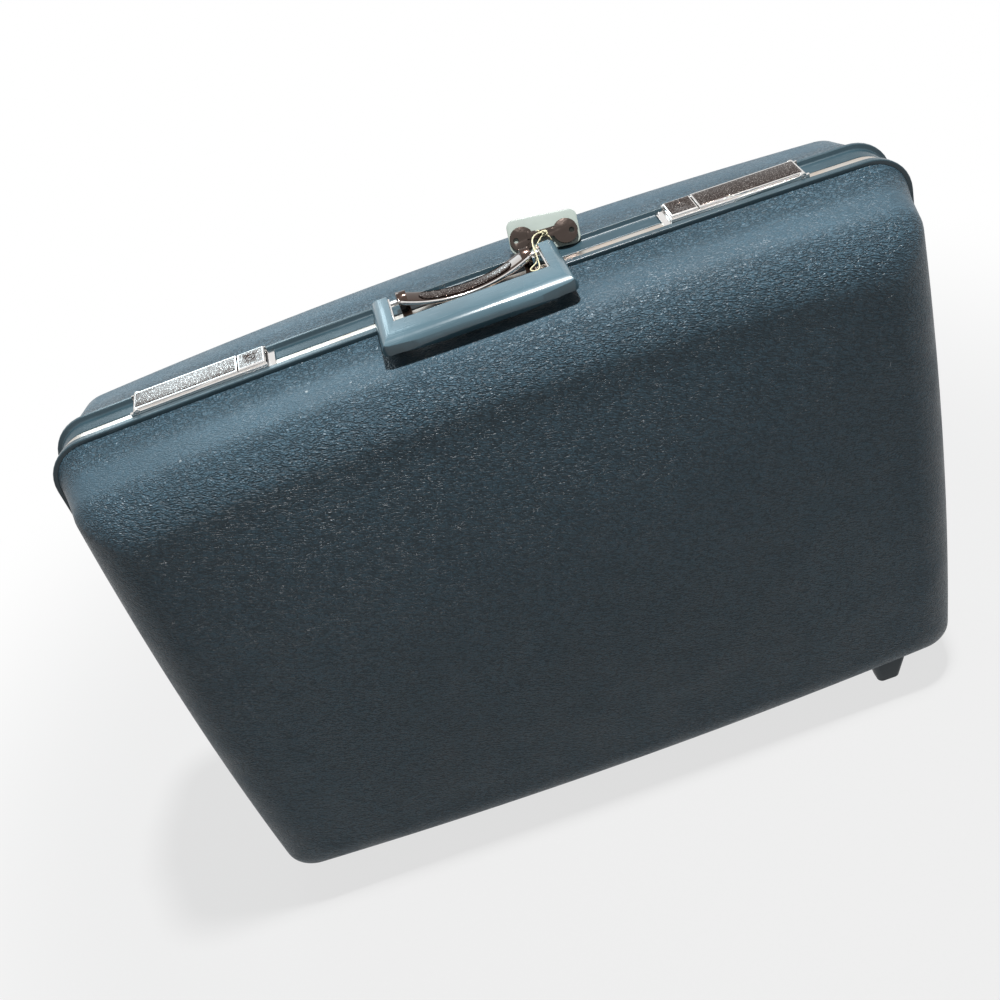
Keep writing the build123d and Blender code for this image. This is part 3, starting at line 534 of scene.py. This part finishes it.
def buildFrames():
    for name, material, steps, body, slotName, node in (
            ("frontRim", rimPlastic, 4, "front_half", "rim_plastic", "front_rim"),
            ("frontFrame", stripMetal, 3, "front_half", "frame_metal", "front_frame"),
            ("backBand", rimPlastic, 4, "lid", "rim_plastic", "back_band"),
            ("backFrame", innerMetal, 3, "lid", "inner_frame", "back_frame")):
        dress(sweepRim(name, sections[name], material, steps), body, slotName, node)
    print("rim, frames and band done")


buildShells()
buildFrames()


# Small hardware keeps its node's shape and gets rounded edges

def refine(node, width, material, body, slotName, name=None):
    words = node.split("_")
    name = name or words[0] + "".join(word.capitalize() for word in words[1:])
    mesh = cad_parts[node].data.copy()
    mesh.name = name
    mesh.materials.clear()
    mesh.materials.append(material)
    shape = bmesh.new()
    shape.from_mesh(mesh)
    bmesh.ops.remove_doubles(shape, verts=shape.verts, dist=2e-6)
    bmesh.ops.dissolve_limit(shape, angle_limit=radians(1.5), verts=shape.verts, edges=shape.edges)
    shape.to_mesh(mesh)
    shape.free()
    for layer in list(mesh.uv_layers):
        mesh.uv_layers.remove(layer)
    piece = addPiece(name, mesh)
    for polygon in mesh.polygons:
        polygon.material_index = 0
    soften(piece, width, 2)
    return dress(piece, body, slotName, node)


buttonInlay = dict(border=1.1, depth=0.4, facingUp=0.9)


def inlayTop(piece, material):                # the top, but for a border, gets a second material: the stipple, with its painted dark reflection
    border = buttonInlay["border"] * mm
    piece.data.materials.append(material)
    shape = bmesh.new()
    shape.from_mesh(piece.data)
    spots = [vert.co for vert in shape.verts]
    low, high = [Vector([pick(spot[axis] for spot in spots) for axis in range(3)]) for pick in (min, max)]
    inner = Vector((border, border, 0))
    for corner, away in ((low + inner, -1), (high - inner, 1)):
        for normal in (Vector((away, 0, 0)), Vector((0, away, 0))):
            whole = shape.verts[:] + shape.edges[:] + shape.faces[:]
            bmesh.ops.bisect_plane(shape, geom=whole, plane_co=corner, plane_no=normal)
    for face in shape.faces:
        place = face.calc_center_median()
        inside = all(low[axis] + border < place[axis] < high[axis] - border for axis in range(2))
        onTop = place.z > high.z - buttonInlay["depth"] * mm and face.normal.z > buttonInlay["facingUp"]
        if inside and onTop:
            face.material_index = 1
    shape.to_mesh(piece.data)
    shape.free()


# Node without its side, rounding of its edges, material, body, slot: a body with a last _ has a side too

pairs = (("latch_base", 0.3, brightPlate, "front_half", "chrome"),
         ("latch_lever", 0.45, brightPlate, "lever_", "chrome"),
         ("latch_inlay", 0.15, stippleDarkReflection, "lever_", "latch_inlay"),
         ("latch_button", 0.3, brightPlate, "button_", "chrome"),
         ("lock_cylinder", 0.2, stippleDarkReflection, "lock_", "chrome"),
         ("latch_pin", 0.2, hingeSteel, "front_half", "hinge_steel"),
         ("latch_spring", 0.1, hingeSteel, "front_half", "hinge_steel"),
         ("strike_plate", 0.1, hingeSteel, "lid", "hinge_steel"),
         ("handle_lug", 0.35, brightPlate, "handle", "chrome"),
         ("handle_pin", 0.3, hingeSteel, "front_half", "hinge_steel"),
         ("buckle", 0.7, brightPlate, "front_half", "chrome"),
         ("hinge_leaf_front", 0.25, hingeSteel, "front_half", "hinge_steel"),
         ("hinge_leaf_back", 0.25, hingeSteel, "lid", "hinge_steel"),
         ("hinge_pin", 0.3, hingeSteel, "front_half", "hinge_steel"),
         ("foot_front", 0.5, footPlastic, "front_half", "foot"),
         ("foot_back", 0.5, footPlastic, "lid", "foot"))


def buildHardware():
    for word in ("left", "right"):
        for node, width, material, body, slotName in pairs:
            side = word if body.endswith("_") else ""
            piece = refine(node + "_" + word, width, material, body + side, slotName)
            if node == "latch_button":
                inlayTop(piece, stippleDarkReflection)
    refine("hinge_rivets_front", 0.15, hingeSteel, "front_half", "hinge_steel")
    refine("hinge_rivets_back", 0.15, hingeSteel, "lid", "hinge_steel")
    refine("latch_rivets", 0.15, hingeSteel, "front_half", "hinge_steel")
    refine("key_tag", 0.25, tagCard, "front_half", "tag")
    refine("keys", 0.25, keyMetal, "front_half", "key_metal", "twoKeys")
    print("hardware done")


buildHardware()


# Handle, drawn flat around its pivot: y is minus the distance from it

handle = dict(half=71, arm=14, reach=61, grip=23, swell=2.5, top=6, bottom=6, armBottom=3.8, armStart=0.774,
              underside=11, belly=4.5, slope=-2, planRound=6, endSlope=3, endRound=9.5, endFoot=1.5,
              frontRound=13, frontLow=4, mouthRound=0.8, edge=1.5, pivotRise=5.7, blank=20, mouthBlank=30)


def placeHandle(piece):
    pivot = Matrix.Translation((0, 0, (rimTop + handle["pivotRise"]) * mm))
    piece.data.transform(pivot @ Matrix.Rotation(radians(handle["slope"]), 4, "X"))


def gripPlan():                               # from above: the front edge swells a little
    half, reach, swell = handle["half"], handle["reach"], handle["swell"]
    front = [(half * (k / 16 - 1), -reach - swell * (1 - (k / 16 - 1) ** 2), 0) for k in range(3, 30)]
    back, corner = handle["top"] + 1, handle["planRound"]
    return [(-half, back, 0), (-half, -reach, corner)] + front + [(half, -reach, corner), (half, back, 0)]


def gripSide():                               # from the side: round at the pivot, then the arm, then the grip
    top, reach, low = handle["top"], handle["reach"], handle["frontLow"]
    innerReach = reach - handle["grip"]
    side = [(top * cos(radians(90 - 15 * k)), top * sin(radians(90 - 15 * k)), 0) for k in range(15)]
    armLow, gripLow = -handle["armBottom"], -handle["underside"]
    side += [(-top * handle["armStart"], armLow, 0), (-innerReach + 1, armLow, 1.5),
             (-innerReach - 3, gripLow, 2), (-reach + 2, gripLow, 4)]
    for k in range(13):
        turn = radians(90 * k / 12)
        ahead = -reach - handle["swell"] + handle["frontRound"] * (1 - cos(turn))
        side.append((ahead, -low + (top + low) * sin(turn), 0))
    return side


def gripEnd():                                # from the front: sloping round ends and a belly under the grip
    half, top, bottom, foot = handle["half"], handle["top"], handle["bottom"], handle["endFoot"]
    slope, corner, innerHalf = handle["endSlope"], handle["endRound"], half - handle["arm"]
    end = [(-half, -bottom, foot), (-half + slope, top, corner),
           (half - slope, top, corner), (half, -bottom, foot)]
    for k in range(25):
        share = 1 - k / 12
        end.append((innerHalf * share, -bottom - handle["belly"] * (1 - share ** 2), 0))
    return end


def buildHandle():
    innerHalf, innerReach = handle["half"] - handle["arm"], handle["reach"] - handle["grip"]
    blank, mouthBlank, corner = handle["blank"], handle["mouthBlank"], handle["mouthRound"]
    grip = extrude("handleGrip", roundLoop(gripPlan()), fromAbove, -blank, blank)
    combine(grip, extrude("side", roundLoop(gripSide()), fromSide, -past, past), "INTERSECT")
    combine(grip, extrude("end", roundLoop(gripEnd(), 8), fromFront, -past, past), "INTERSECT")
    mouth = [(-innerHalf, blank, 0), (-innerHalf, -innerReach, corner), (innerHalf, -innerReach, corner),
             (innerHalf, blank, 0)]
    combine(grip, extrude("mouth", roundLoop(mouth), fromAbove, -mouthBlank, mouthBlank), "DIFFERENCE")
    grip.data.materials.append(handlePlastic)
    soften(grip, handle["edge"], 4, 24)
    placeHandle(grip)
    dress(grip, "handle", "handle", "handle_grip")
    print("handle done")


buildHandle()


# Saddle plate: a polished bar that dips between two posts, with a stippled hollow

saddle = dict(half=50, width=16, thick=3.2, endTop=10.4, midTop=-1.6, post=7, postInset=1.5, base=4, seat=21,
              seatInset=1, narrowFrom=0.9, narrowBy=0.14, thinBy=0.3, highlightEdge=0.9, stippleHalf=35,
              stippleWidth=10.5, stippleThick=0.7, stippleLift=0.85, stippleBulge=0.35, stippleEnd=0.85)
saddleDip = saddle["endTop"] - saddle["midTop"]
saddleRadius = (saddle["half"] ** 2 + saddleDip ** 2) / (2 * saddleDip)


def saddleHeight(x):
    return rimTop + saddle["midTop"] + saddleRadius - sqrt(saddleRadius * saddleRadius - x * x)


def barRing(x, width, thick, lift=0.0, bulge=0.5):           # a rounded section across the bar
    corners = [(-width / 2, 0, 1.1), (-width / 2, -thick, 0.9), (width / 2, -thick, 0.9), (width / 2, 0, 1.1)]
    loop = roundLoop(corners, 5)
    loop += [(width / 2 * (1 - k / 4), bulge * (1 - (1 - k / 4) ** 2)) for k in range(1, 8)]
    tilt = asin(x / saddleRadius)
    return [(x - (b + lift) * sin(tilt), a, saddleHeight(x) + (b + lift) * cos(tilt)) for a, b in loop]


def buildBar():
    rings = []
    for k in range(49):
        x = -saddle["half"] + 2 * saddle["half"] * k / 48
        nearEnd = max(0.0, abs(x) / saddle["half"] - saddle["narrowFrom"]) / 0.1
        width = saddle["width"] * (1 - saddle["narrowBy"] * nearEnd ** 3)
        rings.append(barRing(x, width, saddle["thick"] * (1 - saddle["thinBy"] * nearEnd ** 2)))
    return addMesh("saddlePlate", *loft(rings, caps=True))


def buildPosts(bar):
    base, radius = rimTop - saddle["base"], saddle["width"] / 2 - saddle["postInset"]
    outline = [(-radius, base, 0.5), (radius, base, 0.5)]
    for k in range(19):
        turn = radians(10 * k)
        outline.append((radius * cos(turn), rimTop + handle["pivotRise"] + radius * sin(turn), 0))
    for side in (-1, 1):
        ends = (side * saddle["half"], side * (saddle["half"] - saddle["post"]))
        combine(bar, extrude("post", roundLoop(outline), fromSide, min(ends), max(ends)), "UNION")
    seat, under = saddle["seat"], rimTop + saddle["midTop"] - 1
    deep = saddle["width"] / 2 - saddle["seatInset"]
    foot = roundLoop([(-seat, base, 0.5), (seat, base, 0.5), (seat, under, 0), (-seat, under, 0)])
    combine(bar, extrude("foot", foot, fromFront, -deep, deep), "UNION")


def buildSaddle():
    bar = buildBar()
    buildPosts(bar)
    bar.data.materials.append(chromeDarkReflection)
    bar.data.materials.append(brightPlate)
    soften(bar, 0.25, 2, 45)
    for polygon in bar.data.polygons:         # the front edge and the posts' outer faces get the bright chrome as a painted highlight, the rest the dark copy
        middle = polygon.center / mm
        edge = middle.y < -saddle["width"] / 2 + saddle["highlightEdge"] and polygon.normal.z > -0.3
        end = abs(polygon.normal.x) > 0.9 and abs(middle.x) > saddle["half"] - 1
        polygon.material_index = 1 if edge or end else 0
    dress(bar, "front_half", "chrome", "saddle_plate")
    rings = []
    for k in range(41):
        x = saddle["stippleHalf"] * (k / 20 - 1)
        nearEnd = max(0.0, abs(x) / saddle["stippleHalf"] - saddle["stippleEnd"]) / 0.15
        width = saddle["stippleWidth"] * sqrt(max(0.06, 1 - nearEnd ** 2))
        rings.append(barRing(x, width, saddle["stippleThick"], saddle["stippleLift"], saddle["stippleBulge"]))
    inlay = addMesh("saddleInlay", *loft(rings, caps=True), stippleDarkReflection)
    dress(inlay, "front_half", "latch_inlay", "saddle_inlay")
    print("saddle done")


buildSaddle()


# String from its knot over the post, a loop in front of it and back: the route's points, from the rim's top

string = dict(radius=0.5, knot=(65.6, 16.8, 9.8), knotRadius=2.6)
stringRoute = [(60.0, 14.0, 13.2), (54.8, 7.0, 13.6), (53.4, -0.5, 11.6), (53.4, -7.5, 8.6),
               (53.2, -12.6, 3.0), (52.0, -16.8, 1.8), (47.6, -17.6, 1.8), (45.2, -14.2, 2.2),
               (48.2, -11.2, 2.4), (52.4, -7.0, 2.0), (52.9, -0.5, 1.4), (53.4, 6.0, 2.0),
               (56.4, 10.8, 4.6), (60.6, 13.6, 7.4)]

# Each short end of the knot leaves its core at an angle in radians, then passes points from the knot's middle
knotLook = dict(strand=0.72, steps=96, swing=1.4, lobe=0.6, forward=-0.5, sway=0.8, core=1.2, end=0.42,
                bends=6)
knotEnds = ((3.7, (-3.2, -1.6, -2.6), (-5.0, -2.2, -5.4), (-5.6, -2.0, -7.2)),
            (5.1, (2.6, -1.8, -3.0), (3.6, -2.6, -6.0)),
            (2.2, (-2.6, -0.6, 2.4), (-4.6, 0.4, 3.6)))


def tube(points, radius, sides=8):            # mesh round a smooth line through points, with closed ends
    rings = []
    for k, point in enumerate(points):
        along = (points[min(k + 1, len(points) - 1)] - points[max(k - 1, 0)]).normalized()
        across = along.orthogonal() if k == 0 else across - along * across.dot(along)
        across = across.normalized()
        other = along.cross(across)
        thin = radius * (0.6 if k in (0, len(points) - 1) else 1)
        turns = [2 * pi * j / sides for j in range(sides)]
        rings.append([point + (across * cos(turn) + other * sin(turn)) * thin for turn in turns])
    return loft(rings, caps=True)


def curved(ends, steps):                      # smooth line through a few points
    smooth = []
    for k in range(len(ends) - 1):
        here, there = ends[k], ends[k + 1]
        before, after = ends[max(k - 1, 0)], ends[min(k + 2, len(ends) - 1)]
        for s in range(steps):
            t = s / steps
            smooth.append(here * (1 - t) ** 2 * (1 + 2 * t) + there * t * t * (3 - 2 * t)
                          + (there - before) * 0.5 * t * (1 - t) ** 2
                          - (after - here) * 0.5 * t * t * (1 - t))
    return smooth + [ends[-1]]


def buildKnot():                              # a wound strand, pulled tight, and its three short ends
    look = knotLook
    knot = Vector(string["knot"]) + Vector((0, 0, rimTop))
    wound = []
    for k in range(look["steps"] + 1):
        turn = 2 * pi * k / look["steps"]
        swing = look["swing"] + look["lobe"] * cos(3 * turn)
        ahead = look["forward"] + look["sway"] * sin(3 * turn)
        wound.append(knot + Vector((swing * cos(2 * turn), ahead, swing * sin(2 * turn))))
    points, faces = tube(wound, look["strand"])
    for angle, *path in knotEnds:
        start = Vector((look["core"] * cos(angle), 0, look["core"] * sin(angle)))
        ends = [knot + start] + [knot + Vector(step) for step in path]
        morePoints, moreFaces = tube(curved(ends, look["bends"]), look["end"])
        faces += [tuple(index + len(points) for index in face) for face in moreFaces]
        points += morePoints
    knotPiece = addMesh("stringKnot", points, faces, stringCotton, sharp=80)
    dress(knotPiece, "front_half", "string", "string_knot")


def routePoints():                            # metres, with both ends inside the knot
    knot = Vector(string["knot"])
    ways = [(Vector(point) - knot).normalized() for point in (stringRoute[0], stringRoute[-1])]
    first, last = [knot + way * string["knotRadius"] * 0.8 for way in ways]
    return [(Vector(point) + Vector((0, 0, rimTop))) * mm for point in [first] + stringRoute + [last]]


def buildString():
    points = routePoints()
    curve = bpy.data.curves.new("tagString", "CURVE")
    curve.dimensions = "3D"
    line = curve.splines.new("NURBS")
    line.points.add(len(points) - 1)
    for place, point in zip(line.points, points):
        place.co = (*point, 1)
    line.order_u = 3
    line.use_endpoint_u = True
    line.resolution_u = 12
    piece = addPiece("tagString", curve)
    bpy.context.view_layer.update()
    path = bpy.data.meshes.new_from_object(piece.evaluated_get(bpy.context.evaluated_depsgraph_get()))
    curve.bevel_depth = string["radius"] * mm
    curve.bevel_resolution = 4
    curve.materials.append(stringCotton)
    dress(piece, "front_half", "string", "tag_string")


buildKnot()
buildString()


# Inside: linings, pocket, straps

lining = dict(outer=0.6, inner=1.8, start=1.6, softness=0.012, soft=0.5)


def buildLinings():
    for name, side, body, node, under in (("frontLining", -1, "front_half", "front_lining", "frontShell"),
                                          ("backLining", 1, "lid", "back_lining", "backShell")):
        outer = formRings(shell["wall"] + lining["outer"], startDepth=lining["start"])
        inner = formRings(shell["wall"] + lining["inner"], startDepth=lining["start"])
        for ring in inner[1:]:
            for k, (x, y, z) in enumerate(ring):
                soft = noise.noise(Vector((x, y, z)) * lining["softness"]) * lining["soft"]
                ring[k] = (x, y + soft, z)
        piece = dress(thinForm(name, outer, inner, liningSatin, side), body, "lining", node)
    print("linings done")


def faceY(x, z, move):                        # distance from the parting plane to the face, moved inwards
    depth, inset = wallPath(move, 0)[-1]
    sizes = formSizes(depth, inset, move)
    u, v = x / (sizes[0] + sizes[2]), (z - centreZ) / (sizes[1] + sizes[3])
    return rimY + depth + crownAt(u, v, max(abs(u), abs(v)))


def ease(value):
    value = min(1.0, max(0.0, value))
    return value * value * (3 - 2 * value)


def bumps(x, z, seed):                        # smooth noise, the same on each run
    return noise.noise(Vector((x, z, seed)))


pocket = dict(halfWidth=224.5, low=81.5, high=287, border=7, sideEase=42, lowEase=60, swell=10.4, flatter=1.8,
              held=2.2, edgeRise=0.9, least=0.5, most=12.4, pleats=31, pleatDepth=2.1, lowPleats=0.16,
              slack=0.9, columns=300, rows=70, thick=0.7, lining=5.1, flat=(0.56, 0.215))
elastic = dict(low=285.8, high=299.6, thick=2.6, edgeRise=1.7, swell=8.3, ruches=84, ruche=0.4,
               narrowing=0.04, columns=560)


def clothRise(x, z, column, high):            # how far the cloth stands off the lining; high is 1 at the top
    rise = ease((pocket["halfWidth"] - abs(x) - pocket["border"]) / pocket["sideEase"])
    rise = rise * ease((z - pocket["low"] - pocket["border"]) / pocket["lowEase"])
    drift = bumps(x * 0.021, z * 0.006, 1.7) * 2.6 + bumps(x * 0.07, z * 0.012, 8.1) * 0.9
    phase = 2 * pi * pocket["pleats"] * column / pocket["columns"] + drift
    fold = 0.72 * sin(phase) + 0.28 * sin(2 * phase + 1.1)
    lowPleats = pocket["lowPleats"]
    strength = pocket["pleatDepth"] * (lowPleats + (1 - lowPleats) * high ** 1.6) * sqrt(rise)
    slack = pocket["slack"] * bumps(x * 0.013, z * 0.03, 4.2) * rise
    swell = pocket["swell"] - pocket["flatter"] * high - pocket["held"]
    return pocket["edgeRise"] + rise * swell + strength * fold + slack


def buildPocket():
    points = []
    deepest = faceY(0, centreZ, pocket["lining"]) - pocket["most"]
    for j in range(pocket["rows"] + 1):
        z = pocket["low"] + (pocket["high"] - pocket["low"]) * j / pocket["rows"]
        for k in range(pocket["columns"] + 1):
            x = pocket["halfWidth"] * (2 * k / pocket["columns"] - 1)
            rise = clothRise(x, z, k, j / pocket["rows"])
            points.append((x, max(deepest, faceY(x, z, pocket["lining"]) - max(pocket["least"], rise)), z))
    width = pocket["columns"] + 1
    faces = [(j * width + k, j * width + k + 1, (j + 1) * width + k + 1, (j + 1) * width + k)
             for j in range(pocket["rows"]) for k in range(pocket["columns"])]
    piece = addMesh("pocketCloth", points, faces, pocketSatin, sharp=80)
    layer = piece.modifiers.new("cloth", "SOLIDIFY")
    layer.thickness, layer.offset = pocket["thick"] * mm, 0
    applyAll(piece)
    dress(piece, "lid", "lining", "pocket")


def buildElastic():
    rings = []
    middleZ, halfHigh = (elastic["low"] + elastic["high"]) / 2, (elastic["high"] - elastic["low"]) / 2
    outline = roundLoop([(-1, -1, 0.5), (1, -1, 0.5), (1, 1, 0.5), (-1, 1, 0.5)], 3)
    for k in range(elastic["columns"] + 1):
        x = pocket["halfWidth"] * (2 * k / elastic["columns"] - 1)
        phase = 2 * pi * elastic["ruches"] * k / elastic["columns"]
        rise = ease((pocket["halfWidth"] - abs(x) - pocket["border"]) / pocket["sideEase"])
        ruche = elastic["ruche"] * sin(phase + bumps(x * 0.05, 0, 2) * 2)
        away = elastic["edgeRise"] + rise * (elastic["swell"] - elastic["edgeRise"])
        y = faceY(x, middleZ, pocket["lining"]) - (away + 0.5 * rise * bumps(x * 0.03, 3, 0))
        tall = halfHigh * (1 - elastic["narrowing"] * sin(phase))
        thick = elastic["thick"] / 2 + ruche * rise
        rings.append([(x, y + a * thick, middleZ + b * tall) for a, b in outline])
    band = addMesh("pocketElastic", *loft(rings, caps=True), elasticWeb)
    dress(band, "lid", "lining", "pocket_elastic")
    print("pocket done")


strap = dict(x=110, width=24.6, low=5.5, thick=1.4, round=0.5, start=8, steps=30, wave=0.35, flatTo=0.9,
             calm=30)


def strapLine(x):                             # (y, height from the middle) over the lining, from wall to wall
    line = []
    for depth, inset in wallPath(strap["low"], 0)[strap["start"]:]:
        sizes = formSizes(depth, inset, strap["low"])
        line.append(Vector((-(rimY + depth), sizes[1] + sizes[3] * (1 - (x / sizes[0]) ** 2))))
    edge = line[-1].y
    for k in range(1, strap["steps"]):
        height = edge * (1 - k / strap["steps"])
        line.append(Vector((-faceY(x, centreZ + height, strap["low"]), height)))
    back = [Vector((y, -z)) for y, z in reversed(line)]
    return line + [Vector((-faceY(x, centreZ, strap["low"]), 0))] + back, edge


def strapLift(height, side, edge):            # slack on the flat of the face, but for its middle
    if not strap["calm"] < abs(height) < edge * strap["flatTo"]:
        return 0.0
    return strap["wave"] * max(0.0, bumps(height * 0.02, side * 3.0, 1))


def buildStraps():
    half, thick, corner = strap["width"] / 2, strap["thick"], strap["round"]
    section = [(-half, 0, corner), (half, 0, corner), (half, thick, corner), (-half, thick, corner)]
    outline = roundLoop(section, 3)
    for word, side in (("Left", -1), ("Right", 1)):
        x = side * strap["x"]
        line, edge = strapLine(x)
        rings = []
        for k, point in enumerate(line):
            along = (line[min(k + 1, len(line) - 1)] - line[max(k - 1, 0)]).normalized()
            inward = Vector((-along.y, along.x))
            lift = strapLift(point.y, side, edge)
            rings.append([(x + a, point.x + inward.x * (b + lift), centreZ + point.y + inward.y * (b + lift))
                          for a, b in outline])
        piece = addMesh("strap" + word, *loft(rings, caps=True), strapWeb)
        dress(piece, "front_half", "strap", "strap_" + word.lower())


buildLinings()
buildPocket()
buildElastic()
buildStraps()


# Camera and light

camera = dict(focal=1252.5, frame=1000, sensor=36, pitch=38.21, yaw=-0.04, roll=-19.51,
              place=(-29.4, -800.2, 924.9), nearest=0.05, furthest=50)


def buildCamera():
    pitch, yaw, roll = [radians(camera[word]) for word in ("pitch", "yaw", "roll")]
    back = Vector((sin(yaw) * cos(pitch), -cos(yaw) * cos(pitch), sin(pitch)))
    right = Vector((0, 0, 1)).cross(back).normalized()
    up = back.cross(right)
    turnedRight = right * cos(roll) + up * sin(roll)
    turnedUp = up * cos(roll) - right * sin(roll)
    data = bpy.data.cameras.new("camera")
    data.sensor_width = camera["sensor"]
    data.lens = camera["focal"] * camera["sensor"] / camera["frame"]
    data.clip_start, data.clip_end = camera["nearest"], camera["furthest"]
    eye = addPiece("camera", data)
    matrix = Matrix((turnedRight, turnedUp, back)).transposed().to_4x4()
    matrix.translation = Vector(camera["place"]) * mm
    eye.matrix_world = matrix
    bpy.context.scene.camera = eye


studio = dict(world=0.12, shadowLift=0.72, fadeFrom=0.45, fadeTo=0.95, floorHalf=4000, floorRoughness=0.9,
              darkFloor=(0.25, 0.25, 0.25, 1), paleFloor=(0.28, 0.28, 0.28, 1), cloudsPerMetre=300,
              middle=(0, 0, 0.35))


def addLamp(name, place, size, power, colour=(1, 1, 1)):     # pointed at the middle of the case
    data = bpy.data.lights.new(name, "AREA")
    data.shape, data.size, data.energy, data.color = "DISK", size, power, colour
    lamp = addPiece(name, data)
    lamp.location = place
    lamp.rotation_mode = "QUATERNION"
    lamp.rotation_quaternion = (Vector(studio["middle"]) - Vector(place)).to_track_quat("-Z", "Y")


def buildFloor():
    half = studio["floorHalf"]
    corners = [(x * half, y * half, 0) for x, y in ((-1, -1), (1, -1), (1, 1), (-1, 1))]
    floor = addMesh("floor", corners, [(0, 1, 2, 3)])
    paint = Paint("paleFloor", Roughness=studio["floorRoughness"])
    place = paint.place()
    cloud = paint.clouds(place, studio["cloudsPerMetre"], 2)
    paint.feed(Base_Color=paint.mix(cloud, studio["darkFloor"], studio["paleFloor"]))
    away = paint.node("VectorMath", {"operation": "LENGTH"}, {0: place}, output="Value")
    white = paint.node("Emission", sockets={"Color": (1, 1, 1, 1), "Strength": 1.0})
    share = paint.seen() * away.ramp(studio["fadeFrom"], studio["fadeTo"], studio["shadowLift"], 1.0)
    both = paint.node("MixShader", sockets={0: share, 1: Field(paint, paint.shader.outputs[0]), 2: white})
    paint.join(paint.tree.nodes["Material Output"].inputs["Surface"], both)
    floor.data.materials.append(paint.material)


def buildLight():
    world = bpy.data.worlds.new("studio")
    bpy.context.scene.world = world
    sky = Paint("studio", world, Color=(1, 1, 1, 1))
    sky.feed(Strength=studio["world"] + (1 - studio["world"]) * sky.seen())
    addLamp("keyLamp", (0.34, -0.14, 2.72), size=0.22, power=124)
    addLamp("fillLamp", (-1.6, -1.8, 1.6), size=1.6, power=4)
    addLamp("rimLamp", (-0.62, 1.94, 1.47), size=0.8, power=9.5, colour=(0.76, 0.96, 1.05))
    bpy.context.scene.view_settings.view_transform = "Standard"


buildCamera()
buildFloor()
buildLight()
print("camera and stage done")
